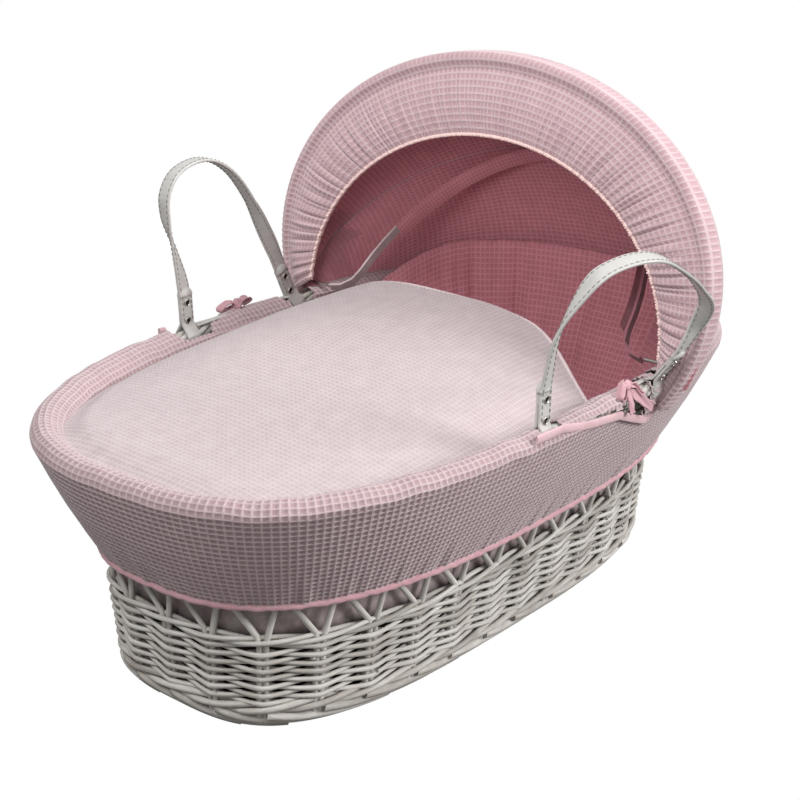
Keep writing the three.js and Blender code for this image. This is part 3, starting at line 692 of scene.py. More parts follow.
def mattress_rings(inset, low, high, crown, radius):
    """Inset and level of each ring of the mattress, from under its lower edge to the middle of its top."""
    quarter = np.linspace(0, math.pi / 2, 6)
    inward, short = radius * (1 - np.cos(quarter)), radius * (1 - np.sin(quarter))
    rings = list(zip(inset + inward, low + short))[::-1] + list(zip(inset + inward, high - short))
    for share in np.linspace(0.12, 0.96, 10):
        in_from_edge = inset + radius + share * (136 - radius - inset)
        rings.append((in_from_edge, high + crown * smooth(share * 1.4)))
    return rings


def mattress_body(name, rings, material):
    t = ring_columns(240)
    points = np.stack([oval_point(turn(t), MATTRESS_OVAL, inset, float(z)) for inset, z in rings], 1)
    faces, uv = grid_faces(len(t), len(rings), True)
    uv[..., 0] *= 1.2
    starts = [k * len(rings) for k in range(len(t))]
    top = [start + len(rings) - 1 for start in starts]
    return make_mesh(name, points, faces.tolist() + [top, starts[::-1]], material, uv)


def make_mattress():
    """A foam core with rounded edges inside a fitted cotton sheet."""
    core = mattress_body("mattress_foam", mattress_rings(0.0, 12.5, 49.0, 0.4, 5.0), FOAM)
    place(core, "root", "foam", "mattress_core")
    rings = mattress_rings(-1.4, 12.0, 50.4, 1.6, 6.4)
    cover = mattress_body("mattress_fitted_sheet", rings, SHEET_CLOTH)
    place(cover, "root", "lining_fabric", "mattress_sheet")


def bumper_top(t):
    """The level of the bumper's top: it rises round the head."""
    x = wall_point(t, RIM_Z, 17)[..., 0]
    return 230 + 76 * smooth((x - 90) / 240)


def bumper_pleats(t):
    """Deep narrow tucks at uneven steps round the bumper."""
    depth = np.zeros_like(t)
    for k, shift in enumerate(np.random.default_rng(37).uniform(-0.3, 0.3, 22)):
        away = np.abs((t - (k + shift) / 22 + 0.5) % 1.0 - 0.5) * PERIMETER
        depth = depth + 12.0 * np.exp(-away / 6.0)
    return depth


def make_bumper():
    """A padded band inside the wall, gathered into soft upright folds, higher round the head."""
    t = ring_columns(600)
    foot_z, back, steps, cell = 66.0, 18.0, 15, 5.4
    top = bumper_top(t)
    head = smooth((wall_point(t, RIM_Z, 17)[:, 0] - 40) / 160)
    folds = waves(t, (57, 74, 91, 113), 31)
    gathers = (2.2 * folds + 0.9 * waves(t, (160, 201, 247), 33)) * (0.25 + 0.75 * head)
    pleats = bumper_pleats(t) * (0.3 + 0.7 * head)
    heights = np.linspace(0, 1, steps)
    loops = [wall_point(t, mix(foot_z, top, height), back) for height in heights]
    for lean in (0.2, 0.5, 0.8):
        lift = 4.5 * math.sin(math.pi * lean) + 0.8 * folds * (0.3 + head)
        loops.append(wall_point(t, top, back + 6.0 * lean) + np.stack([0 * t, 0 * t, lift], -1))
    for height in 1 - heights:
        pinch = math.sin(math.pi * min(1.0, 0.15 + 0.85 * height)) ** 0.6 if height < 1 else 0.3
        plump = 1.5 + 8.0 * (math.sin(math.pi * min(0.97, 0.08 + 0.87 * height)) ** 0.5)
        inset = 20.5 + plump + gathers * pinch - pleats * pinch
        loops.append(wall_point(t, mix(foot_z, top, height), inset))
    points = np.stack(loops, 1)
    faces, uv = grid_faces(len(t), points.shape[1], True, True)
    uv[..., 0] *= PERIMETER / cell / len(t)
    uv[..., 1] *= 200 / cell / steps
    # Its deep pink is painted shade inside the hood.
    obj = make_mesh("bumper", points, faces, WAFFLE_INSIDE_PAINTED_SHADE, uv)
    place(obj, "root", "waffle_fabric", "bumper_pad")
    return obj


# ---------------------------------------------------------------- skirt
# The slits for the handles: x and level of the cloth's cut edge, on the left (1) and the right (-1).
SLIT = {1: ((-122, 300), (-104, 262), (-40, 256), (60, 256), (106, 262), (122, 300)),
        -1: ((-124, 300), (-112, 282), (-46, 268), (25, 258), (66, 241), (100, 228), (112, 240),
             (124, 300))}
# Where the cloth starts again inside a slit: x and degrees round the roll from its outer side.
INNER = {1: ((-124, 20), (-108, 165), (-66, 165), (-60, 128), (-38, 110), (-30, 40), (60, 40), (70, 165),
             (106, 165), (122, 20)),
         -1: ((-124, 20), (-112, 165), (-79, 165), (-73, 34), (-46, 26), (0, 12), (25, -2), (38, 20),
              (50, 80), (60, 140), (78, 165), (116, 165), (124, 20))}
# The cloth inside the rim: inset from the rim's centre line and level over it.
FLAP = ((9.5, 11.6), (15.0, 8.0), (20.5, 2.5), (24.5, -4.0), (26.3, -13.0), (26.5, -26.0))


def slit_height(x, side):
    """The cloth's highest level at each x on one side, where it is cut away for the handle."""
    xs, zs = zip(*SLIT[side])
    return np.where((x > xs[0]) & (x < xs[-1]), np.interp(x, xs, zs), 400.0)


def skirt_profile(angle):
    """The skirt's line from the hem up, over the roll and down inside, as points and running length."""
    low = oval_point(angle, HEM_OVAL, 0.0, HEM_Z)
    rim = oval_point(angle, RIM_OVAL, 0.0, RIM_Z)
    out = unit((rim - oval_point(angle, RIM_OVAL, 1.0, RIM_Z)) * np.array([1, 1, 0]))
    up = np.array([0, 0, 1.0])
    steps = [low]
    for share in (0.25, 0.5, 0.75):
        bow = 3.0 * math.sin(math.pi * share)
        steps.append(mix(low, rim + out * ROLL, share) + out * bow)
    for degrees in range(0, 109, 12):
        c, s = math.cos(math.radians(degrees)), math.sin(math.radians(degrees))
        steps.append(rim + out * (ROLL * c) + up * (ROLL * s))
    hood = smooth((rim[:, 0] - 60) / 80)[:, None]
    for inset, level in FLAP:
        steps.append(rim - out * mix(inset, min(inset, 15.5), hood) + up * level)
    return np.stack(steps, 1)


def resample(lines, count):
    """Each line of points again, as count points evenly along it."""
    lengths = np.linalg.norm(np.diff(lines, axis=1), axis=2)
    run = np.concatenate([np.zeros((len(lines), 1)), np.cumsum(lengths, 1)], 1)
    made = np.empty((len(lines), count, 3))
    for k in range(len(lines)):
        wanted = np.linspace(0, run[k, -1], count)
        for axis in range(3):
            made[k, :, axis] = np.interp(wanted, run[k], lines[k, :, axis])
    return made


def cloth_again(column, first, side):
    """The first point of a skirt column that lies on the cloth's inner part behind a slit."""
    x = column[first, 0]
    centre = half_width(x, RIM_FOOT, RIM_HALF, RIM_POWER)
    around = np.degrees(np.arctan2(column[:, 2] - RIM_Z, side * column[:, 1] - centre))
    around = np.where(around < -90, around + 360, around)
    wanted = np.interp(x, *zip(*INNER[side]))
    beyond = np.nonzero((around >= wanted) & (np.arange(len(column)) > first))[0]
    return beyond[0] if len(beyond) else len(column)


def soften_skirt(points, t):
    """Gathers the hem, and gives the cloth its slack and the creases over the roll."""
    share = np.linspace(0, 1, points.shape[1])[None, :]
    hem_pull = (1 - smooth(share / 0.28)) * (1.6 * waves(t, (71, 97, 131, 59), 41))[:, None]
    soft = 1.2 * waves(t, (5, 8, 13), 42)[:, None] * np.sin(math.pi * share)
    creases = 1.0 * waves(t, (23, 37, 53), 43)[:, None] * smooth((share - 0.55) / 0.1)
    points = points + wall_out(t, RIM_Z)[:, None] * (hem_pull + soft)[..., None]
    points[..., 2] += creases
    return waffle(points, 1.0, CELL_DEPTH, wrap_rows=True)


def cut_slit(points, keep, side):
    """Ends the outer cloth at the slit's edge on one side, and marks the points that are cut away."""
    for k in np.nonzero(points[:, 0, 1] * side > 0)[0]:
        limit = slit_height(points[k, :, 0], side)
        beyond = np.nonzero(points[k, :, 2] > limit)[0]
        if len(beyond) == 0:
            continue
        first = beyond[0]
        below, above = points[k, first - 1].copy(), points[k, first].copy()
        cut = (limit[first] - below[2]) / max(above[2] - below[2], 1e-6)
        points[k, first] = mix(below, above, np.clip(cut, 0.05, 1.0))
        keep[k, first + 1:cloth_again(points[k], first, side)] = False


def make_skirt():
    """Waffle cloth from the hem up, over the rim and down inside, with a slit for each handle."""
    rim_length = ring_length(oval_point(turn(ring_columns(2000)), RIM_OVAL, -ROLL, RIM_Z))
    t = ring_columns(int(rim_length / CELL_WIDE) * PER_CELL)
    lines = skirt_profile(turn(t))
    drop = running(lines[len(t) // 4])[-1]
    points = soften_skirt(resample(lines, int(drop / CELL) * PER_CELL + 1), t)
    keep = np.ones(points.shape[:2], bool)
    for side in (1, -1):
        cut_slit(points, keep, side)
    faces, uv = grid_faces(*keep.shape, True, per_cell=PER_CELL)
    whole = keep.ravel()[faces].all(1)
    obj = part_mesh("skirt_cloth", points, faces, whole, WAFFLE_SHADED_SIDE, uv)
    place(obj, "root", "waffle_fabric", "skirt")
    trims = [make_hem()] + [make_slit_binding(side) for side in (1, -1)]
    return obj


def make_hem():
    """The rolled, gathered hem with elastic inside."""
    soup = Soup()
    t = ring_columns(900)
    pucker = waves(t, (150, 187, 233), 51)
    path = oval_point(turn(t), HEM_OVAL, 1.2 + 0.8 * pucker, HEM_Z - 2.4)
    path[:, 2] += 0.9 * waves(t, (61, 97, 149), 52)
    size = 3.3 + 0.8 * pucker
    add_rod(soup, path, wall_out(t, HEM_Z), size * 0.8, size, 0.5, 10, True)
    return place(soup.mesh("skirt_hem_roll", TRIM), "root", "trim_fabric", "skirt_hem")


def skirt_surface(side, x, z):
    """A point on the skirt's outer face at a given x and level on one side."""
    share = np.minimum((z - HEM_Z) / (RIM_Z - HEM_Z), 1.0)
    hem = half_width(x, *HEM_OVAL[1:])
    roll = half_width(x, RIM_FOOT + ROLL, RIM_HALF + ROLL, RIM_POWER)
    return np.stack([x, side * (mix(hem, roll, share) + 3.0 * np.sin(math.pi * share)), z], -1)


def make_slit_binding(side):
    """A plain turned edge along the cut-away top of the skirt."""
    soup = Soup()
    xs, zs = zip(*SLIT[side])
    x = np.linspace(xs[0] + 4, xs[-1] - 4, 70)
    z = np.interp(x, xs, zs)
    path = skirt_surface(side, x, np.minimum(z, RIM_Z + 10))
    out = np.tile(np.array([0.0, side, 0.0]), (len(x), 1))
    flat = 1.2 + 0.2 * np.sin(x / 5.0)
    add_rod(soup, path - out * 0.2, out, flat, 4.6, 0.5, 10)
    name = "slit_binding_" + ("left" if side > 0 else "right")
    return place(soup.mesh(name, TRIM_SOFT), "root", "trim_fabric")


# ---------------------------------------------------------------- coverlet
COVER = {"foot": -391, "head": 112, "half": 223.5, "power": 2.9, "edge": 252, "cell": 6.0,
         "low": 6, "high": 60, "tilt": 8, "drawn": 62}


def cover_top(x, y, lateral):
    """The coverlet's height: lateral runs from -1 to 1 across it and is +-1 all along its edge."""
    dome = mix(COVER["low"], COVER["high"], smooth((x - COVER["foot"]) / (COVER["head"] - COVER["foot"])))
    dome = dome * (1 - smooth((-x - 340) / 45))
    fullness = np.where(lateral > 0, 4.0, 2.3)
    tilt = COVER["tilt"] * y / COVER["half"] + 3 * smooth((-x - 290) / 80)
    return COVER["edge"] + tilt + dome * (1 - np.abs(lateral) ** fullness)


def drawn_back(x, y):
    """How far the head end of the coverlet is drawn towards the foot at its near corner."""
    return COVER["drawn"] * smooth((-y - 80) / 145) * smooth((x + 90) / 200)


def cover_narrow(x):
    """How the coverlet narrows a little towards its head end."""
    return np.where(x > 0, 1 - 0.06 * x / COVER["head"], 1.0)


def cover_half(x):
    """Half the coverlet's width at x."""
    closing = np.maximum(1 - np.abs(np.minimum(x, 0) / COVER["foot"]) ** COVER["power"], 1e-4)
    return COVER["half"] * cover_narrow(x) * closing ** (1 / COVER["power"])


def cover_point(x, y):
    """A point of the coverlet's top, by its place before the corner is drawn back."""
    top = cover_top(x, y, np.clip(y / cover_half(x), -1, 1))
    return np.stack([x - drawn_back(x, y), y, top], -1)


def cover_grid():
    """Rows of square cells over the coverlet and a few cells beyond it."""
    cell = COVER["cell"] / PER_CELL
    x = COVER["head"] - np.arange(int((COVER["head"] - COVER["foot"]) / cell) + 4) * cell
    y = (np.arange(int(2 * COVER["half"] / cell) + 6) - int(COVER["half"] / cell) - 3) * cell
    return np.meshgrid(x, y, indexing="ij")


def make_coverlet():
    """The quilt's waffle top: a grid of straight cells, with the points beyond its oval drawn in to it."""
    xx, yy = cover_grid()
    power = COVER["power"]
    length = np.where(xx < 0, -COVER["foot"], 3000.0)
    half = COVER["half"] * cover_narrow(xx)
    value = (np.abs(xx / length) ** power + np.abs(yy / half) ** power) ** (1 / power)
    pull = 1 / np.maximum(value, 1.0)
    x = np.where(xx < 0, xx * pull, xx)
    y = yy * pull
    points = cover_point(x, y)
    lateral = np.clip(y / cover_half(x), -1, 1)
    points[..., 2] += 1.6 * np.sin(x / 41 + y / 90) * np.cos(y / 57) * (1 - lateral ** 2)
    points[..., 2] -= 4.0 * smooth((value - 0.93) / 0.07)
    points = waffle(points, -1.0, 0.9 * smooth((0.985 - value) / 0.03))
    faces, uv = grid_faces(*value.shape, per_cell=PER_CELL)
    near = (value <= 1.0).ravel()[faces].any(1)
    obj = part_mesh("coverlet_top", points, faces, near, WAFFLE_LIT_TOP, uv)
    place(obj, "coverlet", "waffle_fabric", "coverlet")
    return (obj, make_coverlet_back(), make_coverlet_edge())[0]


def make_coverlet_edge():
    """The soft turned edge at the coverlet's head end."""
    soup = Soup()
    across = np.linspace(-0.94, 0.94, 80) * COVER["half"]
    front = cover_point(np.full(80, float(COVER["head"])), across)
    front[:, 2] -= 3.0
    add_rod(soup, front, np.tile(np.array([0.0, 0.0, 1.0]), (80, 1)), 3.4, 2.6, 0.5, 10)
    return place(soup.mesh("coverlet_edge", TRIM_PALE), "coverlet", "trim_fabric")


def make_coverlet_back():
    """The quilt's plain underside, one wadding's thickness below the top."""
    u, v = np.meshgrid(np.linspace(0.0, 1.0, 60), np.linspace(-1, 1, 50), indexing="ij")
    x = mix(COVER["foot"] * 0.999, COVER["head"], u ** 1.5)
    y = v * cover_half(x)
    z = cover_top(x, y, v) - 4.0 - 5.0 * (1 - np.abs(v) ** 8)
    faces, uv = grid_faces(60, 50)
    points = np.stack([x - drawn_back(x, y), y, z], -1)
    obj = make_mesh("coverlet_back", points, faces, TRIM_PALE, uv)
    return place(obj, "coverlet", "waffle_fabric")


# ---------------------------------------------------------------- hood
def in_plane(lean, across, up, behind=0.0):
    """A point in the plane that leans back from the pivot by lean degrees."""
    c, s = np.cos(np.radians(lean)), np.sin(np.radians(lean))
    return np.stack(np.broadcast_arrays(
        PIVOT_X + up * s + behind * c, across, PIVOT_Z + up * c - behind * s), -1)


def arch(shape, inset, q):
    """Across and up of an arch at shares q from its right foot over the top to its left foot."""
    half, rise = shape["half"] - inset, shape["rise"] - inset
    start = math.asin((shape["foot"] - shape["centre"]) / rise)
    swing = mix(start, math.pi - start, q)
    return -half * np.cos(swing), shape["centre"] + rise * np.sin(swing)


def even_shares(shape, count):
    """Shares of an arch that are evenly spaced by length."""
    q = np.linspace(0, 1, 2000)
    run = running(np.stack(arch(shape, 0, q), -1))
    return np.interp(np.linspace(0, run[-1], count), run, q), run[-1]


def ellipse_reach(shape, angle):
    """How far an arch lies from the pivot's line in a direction of its own plane."""
    c, s = np.cos(angle), np.sin(angle)
    a = (c / shape["half"]) ** 2 + (s / shape["rise"]) ** 2
    b = -2 * s * shape["centre"] / shape["rise"] ** 2
    k = (shape["centre"] / shape["rise"]) ** 2 - 1
    return (-b + np.sqrt(b * b - 4 * a * k)) / (2 * a)


def rear_reach(angle):
    """How far the canopy's rear edge lies from the pivot's line, found by halving."""
    low, high = np.zeros_like(angle), np.full_like(angle, float(REAR_FABRIC["foot"]))
    power = REAR_FABRIC["power"]
    for _ in range(40):
        middle = (low + high) / 2
        across = np.abs(middle * np.cos(angle) / REAR_FABRIC["half"])
        back = np.abs((middle * np.sin(angle) + PIVOT_X) / REAR_FABRIC["foot"])
        outside = across ** power + back ** power > 1
        high = np.where(outside, middle, high)
        low = np.where(outside, low, middle)
    return low


def canopy_point(lean, angle):
    """A point of the hood's cloth: lean turns back about the pivot, and angle runs over the arch."""
    middle = ellipse_reach(MIDDLE_FABRIC, angle)
    rear = lean > MIDDLE["lean"]
    t = np.where(rear, (lean - MIDDLE["lean"]) / (REAR_FABRIC["lean"] - MIDDLE["lean"]),
                 (lean - FRONT["lean"]) / (MIDDLE["lean"] - FRONT["lean"]))
    start = np.where(rear, middle, ellipse_reach(FRONT, angle))
    end = np.where(rear, rear_reach(angle), middle)
    reach = mix(start, end, t) - CANOPY_SAG * 4 * t * (1 - t) * (0.35 + 0.65 * np.sin(angle))
    reach = reach - 1.0 * np.sin(angle) * waves(angle / (2 * math.pi), (24, 37, 52), 61) * (4 * t * (1 - t))
    points = in_plane(lean, -reach * np.cos(angle), reach * np.sin(angle))
    hang = 1 - smooth((points[..., 2] - HANG_TOP) / HANG_DEPTH)
    hang = hang * (1 - smooth((points[..., 0] - HANG_X) / HANG_FADE))
    points[..., 1] *= 1 + 0.006 * hang * smooth((lean - FRONT["lean"]) / 12)
    points[..., 2] -= np.where(points[..., 1] > 0, 1.0, 0.4) * CANOPY_DROP * hang
    return points


def make_canopy(name, node, start, end, bend):
    """One panel of the hood: waffle cloth outside, and inside it a deeper pink that paints the shade and the
    light through the cloth.
    """
    angles = np.radians(np.linspace(CANOPY_LOW, 180 - CANOPY_LOW, 400))
    run = running(canopy_point(np.full(400, float((start + end) / 2)), angles))
    rows = int(run[-1] / CELL) * PER_CELL + 1
    angles = np.interp(np.linspace(0, run[-1], rows), run, angles)
    length = running(canopy_point(np.linspace(start, end, 50), np.full(50, math.pi / 2)))[-1]
    columns = int(length / CELL) * PER_CELL + 1
    aa, ll = np.meshgrid(angles, np.linspace(start, end, columns), indexing="ij")
    points = waffle(canopy_point(ll, aa), 1.0, 0.8)
    faces, uv = grid_faces(rows, columns, per_cell=PER_CELL)
    obj = make_mesh(name, points, faces, [WAFFLE_HOOD, WAFFLE_INSIDE_PAINTED_SHADE], uv)
    if obj.data.polygons[len(obj.data.polygons) // 2].normal.z <= 0:
        obj.data.flip_normals()
    thicken(obj, CANOPY_THICK, -1.0, 1)
    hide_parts(node)
    before, after = (in_plane(mix(start, end, bend), 0.0, 0.0, reach) * TO_METRES
                     for reach in (-FOLD, FOLD))
    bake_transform(obj)
    return obj


BRIM_FRONT, BRIM_BULGE = -11.4, 7.0
BRIM_BACK, BRIM_WRAP = -0.08, 17.0     # the share where it starts behind the bow, and how far back that is
CASING_HALF, CASING_HIGH = 0.075, 5.5  # half the casing's share of the brim, and its height over the bow


def brim_point(q, share):
    """The brim from behind the front bow, over its casing at share 0, in to the elastic edge at share 1."""
    inward = np.clip(share, 0, 1)
    across, up = (mix(outer, inner, inward) for outer, inner in zip(arch(FRONT, 0, q), arch(MOUTH, 0, q)))
    casing = CASING_HIGH * np.sqrt(np.clip(1 - ((share - CASING_HALF) / CASING_HALF) ** 2, 0, 1))
    round_bow = np.clip(share / BRIM_BACK, 0, 1)
    groove = -2.0 * np.exp(-((share - 0.165) / 0.02) ** 2)
    q = np.clip(q, 0, 1)
    billow = BRIM_BULGE * np.sin(math.pi * np.clip((share - 0.16) / 0.84, 0, 1)) ** 0.8
    low = 1 - np.sin(math.pi * q)
    folds = waves(q, (46, 61, 73, 88), 71) + 0.6 * waves(q, (121, 144, 167), 72)
    strength = (1.9 + 2.2 * low ** 1.2) * smooth((share - 0.12) / 0.55)
    gather = strength * (1 - 0.55 * smooth((share - 0.8) / 0.2)) * folds
    across, up = across * (1 + 0.004 * round_bow), up + 1.2 * round_bow * np.sin(math.pi * q)
    behind = BRIM_FRONT + 2.0 - casing + groove - billow - gather + BRIM_WRAP * round_bow
    return in_plane(FRONT["lean"], across, up, behind)


def make_brim():
    """The gathered frill inside the front bow; its lower end on the near side runs on as a short tail."""
    shares, length = even_shares(FRONT, int(1010 / CELL) * PER_CELL + 1)
    tail = -np.arange(5 * PER_CELL, 0, -1) * CELL / PER_CELL / length
    shares = np.concatenate([tail, shares])
    wide = np.linspace(BRIM_BACK, 1, 13 * PER_CELL + 1)
    qq, ss = np.meshgrid(shares, wide, indexing="ij")
    points = waffle(brim_point(qq, ss), 1.0, 0.9)
    faces, uv = grid_faces(len(shares), len(wide), per_cell=PER_CELL)
    obj = make_mesh("brim_frill", points, faces, [WAFFLE_HOOD, WAFFLE_INSIDE_PAINTED_SHADE], uv)
    thicken(obj, BRIM_THICK, 1.0, 1)
    place(obj, "hood_front", "waffle_fabric", "hood_brim")
    return (obj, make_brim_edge())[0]


def make_brim_edge():
    """Elastic in a narrow turned edge, sewn over with a zigzag."""
    soup = Soup()
    q, _ = even_shares(MOUTH, 900)
    path = brim_point(q, np.ones_like(q))
    side = unit(path - in_plane(FRONT["lean"], 0.0, 60.0, BRIM_FRONT))
    add_rod(soup, path, side, 2.0, 2.6, 0.5, 8)
    zig = path + side * (1.7 * np.sign(np.sin(np.arange(900) * math.pi / 2 + 0.7)))[:, None]
    zig[:, 0] -= 2.2
    add_rod(soup, zig, side, 0.7, 0.7, 0.9, 6)
    return place(soup.mesh("brim_edge", EDGE_THREAD), "hood_front", "trim_fabric", "brim_elastic")


def make_casing_band():
    """The tape on the inside of the canopy that holds the middle bow."""
    angles = np.radians(np.linspace(9, 151, 260))
    inside = {"half": MIDDLE["half"] - 4.4, "rise": MIDDLE["rise"] - 4.4, "centre": MIDDLE["centre"]}
    rows = []
    for share in np.linspace(-1, 1, 9):
        reach = ellipse_reach(inside, angles) - 1.3 * (1 - share ** 2)
        rows.append(in_plane(MIDDLE["lean"], -reach * np.cos(angles), reach * np.sin(angles), 12 * share))
    points = np.stack(rows, 1)
    faces, uv = grid_faces(len(angles), 9)
    uv = uv * np.array([700 / 260 / 5.4, 24 / 8 / 5.4])
    obj = make_mesh("casing_band", points, faces, WAFFLE_INSIDE_PAINTED_SHADE, uv)
    place(obj, "hood_middle", "waffle_fabric", "bow_casing")
    return obj


def make_hood():
    make_canopy("canopy_front", "hood_canopy_front", FRONT["lean"] - 0.6, MIDDLE["lean"],
                0.8)
    make_canopy("canopy_rear", "hood_canopy_rear", MIDDLE["lean"], REAR_FABRIC["lean"] + 3,
                0.5)
    make_brim()
    make_casing_band()
    show_node("hood_front_bow", STRIP)
    middle = show_node("hood_middle_bow", STRIP)
    middle.materials.append(STRIP_COVERED)
    for face in middle.polygons:
        face.material_index = 1 if face.center.y < 0 else 0
    for name in ("hood_pivot_left", "hood_pivot_right"):
        show_node(name, NICKEL)


# ---------------------------------------------------------------- handles
STRAP_WIDTH, STRAP_THICK = 18.0, 3.0
SLEEVE_MIDDLE, TAB_LENGTH, TAB_THICK = 10.6, 58.0, 6.4
RIVET_REACH = (20, 41)
RIVET_SIDES = 20
TAB_LAYER = 1.45               # half the thickness of each layer of a tab
STITCH_EDGE = 6.4              # from the strap's middle to each row of stitches
# Each leg's x, tilt and slant; each point's x, reach from the rim, tilt about it and twist of the strap.
HANDLES = {
    "left": {"side": 1, "legs": ((-86, 0, -2), (88, 0, -24)), "path": (
        (-87, 38, 0, 0), (-91, 66, 0, 8), (-100, 102, 0, 40), (-110, 139, 0, 80), (-110, 166, 0, 90),
        (-96, 187, 0, 90), (-69, 197, 0, 90), (-42, 195, 0, 90), (-11, 177, 0, 90), (20, 138, 0, 88),
        (41, 100, 0, 50), (58, 67, 0, 10), (71, 37, 0, 0))},
    "right": {"side": -1, "legs": ((-94, 0, 2), (98, 36, 3)), "path": (
        (-92, 38, 0, 0), (-92, 62, 3, 4), (-95, 108, 8, 20), (-87, 144, 12, 55), (-76, 170, 15, 85),
        (-48, 183, 18, 90), (-17, 185, 21, 90), (28, 167, 23, 90), (78, 138, 26, 90), (103, 114, 30, 75),
        (106, 84, 32, 30), (101, 58, 35, 5), (100, 38, 36, 0))},
}


def about_rim(side, x, reach, tilt):
    """A point at a reach from the rim's line, tilted outwards from upright."""
    c, s = np.cos(np.radians(tilt)), np.sin(np.radians(tilt))
    return np.stack(np.broadcast_arrays(x, side * (HANDLE_Y + reach * s), HANDLE_Z + reach * c), -1)


def smooth_path(knots, steps):
    """A centripetal Catmull-Rom curve through the knots, with steps points from each knot to the next."""
    knots = np.asarray(knots, float)
    padded = np.vstack([2 * knots[0] - knots[1], knots, 2 * knots[-1] - knots[-2]])
    made = []
    for i in range(len(knots) - 1):
        p0, p1, p2, p3 = padded[i:i + 4]
        a, b, c = (max(float(np.linalg.norm(d)), 1e-6) ** 0.5 for d in (p1 - p0, p2 - p1, p3 - p2))
        leave = ((p1 - p0) / a - (p2 - p0) / (a + b) + (p2 - p1) / b) * b
        arrive = ((p2 - p1) / b - (p3 - p1) / (b + c) + (p3 - p2) / c) * b
        s = np.arange(steps)[:, None] / steps
        made.append((2 * s ** 3 - 3 * s ** 2 + 1) * p1 + (s ** 3 - 2 * s ** 2 + s) * leave
                    + (3 * s ** 2 - 2 * s ** 3) * p2 + (s ** 3 - s ** 2) * arrive)
    return np.vstack(made + [knots[-1:]])


def strap_frames(handle, steps):
    """The handle's centre line with its width and depth directions."""
    side, path = handle["side"], np.array(handle["path"], float)
    centre = smooth_path([about_rim(side, x, reach, tilt) for x, reach, tilt, _ in path], steps)
    place_on = np.linspace(0, len(path) - 1, len(centre))
    tilt = np.interp(place_on, np.arange(len(path)), path[:, 2])
    twist = np.radians(np.interp(place_on, np.arange(len(path)), path[:, 3]))[:, None]
    along = unit(np.gradient(centre, axis=0))
    out = about_rim(side, 0, 1, tilt + 90) - about_rim(side, 0, 0, tilt)
    flat = unit(np.cross(out, along))
    face = unit(np.cross(along, flat))
    width = flat * np.cos(twist) + face * np.sin(twist)
    return centre, width, unit(np.cross(width, along))


def rounded_section(half_wide, half_thick):
    """A flat strip's section with rounded edges, as pairs of width and depth."""
    corner, steps = 1.2, 3
    made = []
    for sx, sy, start in ((1, 1, 0), (-1, 1, 90), (-1, -1, 180), (1, -1, 270)):
        for k in range(steps + 1):
            a = math.radians(start + 90 * k / steps)
            made.append((sx * (half_wide - corner) + corner * math.cos(a),
                         sy * (half_thick - corner) + corner * math.sin(a)))
    return made


def add_strip(soup, centre, width, depth, half_wide, half_thick):
    """A flat strip along centre, closed at both ends."""
    section = np.array(rounded_section(half_wide, half_thick))
    points = centre[:, None] + width[:, None] * section[None, :, :1] + depth[:, None] * section[None, :, 1:]
    faces, uv = grid_faces(len(centre), len(section), False, True)
    size, last = len(section), (len(centre) - 1) * len(section)
    ends = [list(range(size))[::-1], list(range(last, last + size))]
    soup.add(points, faces.tolist() + ends, uv * 0.3)


def leg_point(side, leg, across, reach, out):
    """A point in a leg's own plane: across along the basket, reach up from the rim, out from its face."""
    x0, tilt, slant = leg
    c, s = math.cos(math.radians(slant)), math.sin(math.radians(slant))
    x, up = across * c + reach * s, -across * s + reach * c
    ct, st = math.cos(math.radians(tilt)), math.sin(math.radians(tilt))
    y = side * (out * ct + up * st)
    z = up * ct - out * st
    return np.stack(np.broadcast_arrays(x0 + x, side * HANDLE_Y + y, HANDLE_Z + z), -1)


def add_leg(soup, side, leg):
    """The strap's double end: down the front, round the rim, up the back and out to a round tip."""
    half, layer = STRAP_WIDTH / 2, TAB_THICK / 4
    wrap = np.radians(np.linspace(20, -200, 26))
    front = [(reach, layer) for reach in np.linspace(TAB_LENGTH - half, 16, 9)]
    round_rim = [(SLEEVE_MIDDLE * math.sin(a), SLEEVE_MIDDLE * math.cos(a)) for a in wrap]
    back = [(reach, -layer) for reach in np.linspace(16, TAB_LENGTH - half, 9)]
    line = np.array(front + round_rim + back)
    centre = leg_point(side, leg, 0.0, line[:, 0], line[:, 1])
    across = leg_point(side, leg, 1.0, line[:, 0], line[:, 1]) - centre
    depth = np.cross(unit(np.gradient(centre, axis=0)), across)
    add_strip(soup, centre, unit(across), unit(depth), half, TAB_LAYER)
    for face in (layer, -layer):
        add_tip(soup, side, leg, face)


def add_tip(soup, side, leg, face):
    """The half-round end of one layer of a leg."""
    half = STRAP_WIDTH / 2
    angles = np.radians(np.linspace(0, 180, 13))
    tip = np.array([(half * math.cos(a), TAB_LENGTH - half + half * math.sin(a)) for a in angles])
    points = np.concatenate([leg_point(side, leg, tip[:, 0], tip[:, 1], face + lift)
                             for lift in (-TAB_LAYER, TAB_LAYER)])
    n = len(tip)
    sides = [[k, k + 1, n + k + 1, n + k] for k in range(n - 1)]
    soup.add(points, sides + [list(range(n))[::-1], list(range(n, 2 * n))])


def add_stitch(soup, start, end, lift):
    """One sewn stitch as a small rounded bar."""
    q = np.linspace(0, 1, 5)
    hump = np.sin(math.pi * q)
    path = start + (end - start) * q[:, None] + lift * (0.35 * hump)[:, None]
    half = 0.42 * (0.5 + 0.5 * hump)
    add_rod(soup, path, np.tile(lift, (5, 1)), half, half, 0.5, 6)


def at_length(run, line, length):
    """The place at a length along a line of points."""
    return np.array([np.interp(length, run, line[:, k]) for k in range(3)])


def stitch_line(soup, line, lift):
    dash, gap = 4.0, 2.2
    run = running(line)
    for start in np.arange(1.0, run[-1] - dash, dash + gap):
        add_stitch(soup, at_length(run, line, start), at_length(run, line, start + dash),
                   at_length(run, lift, start))


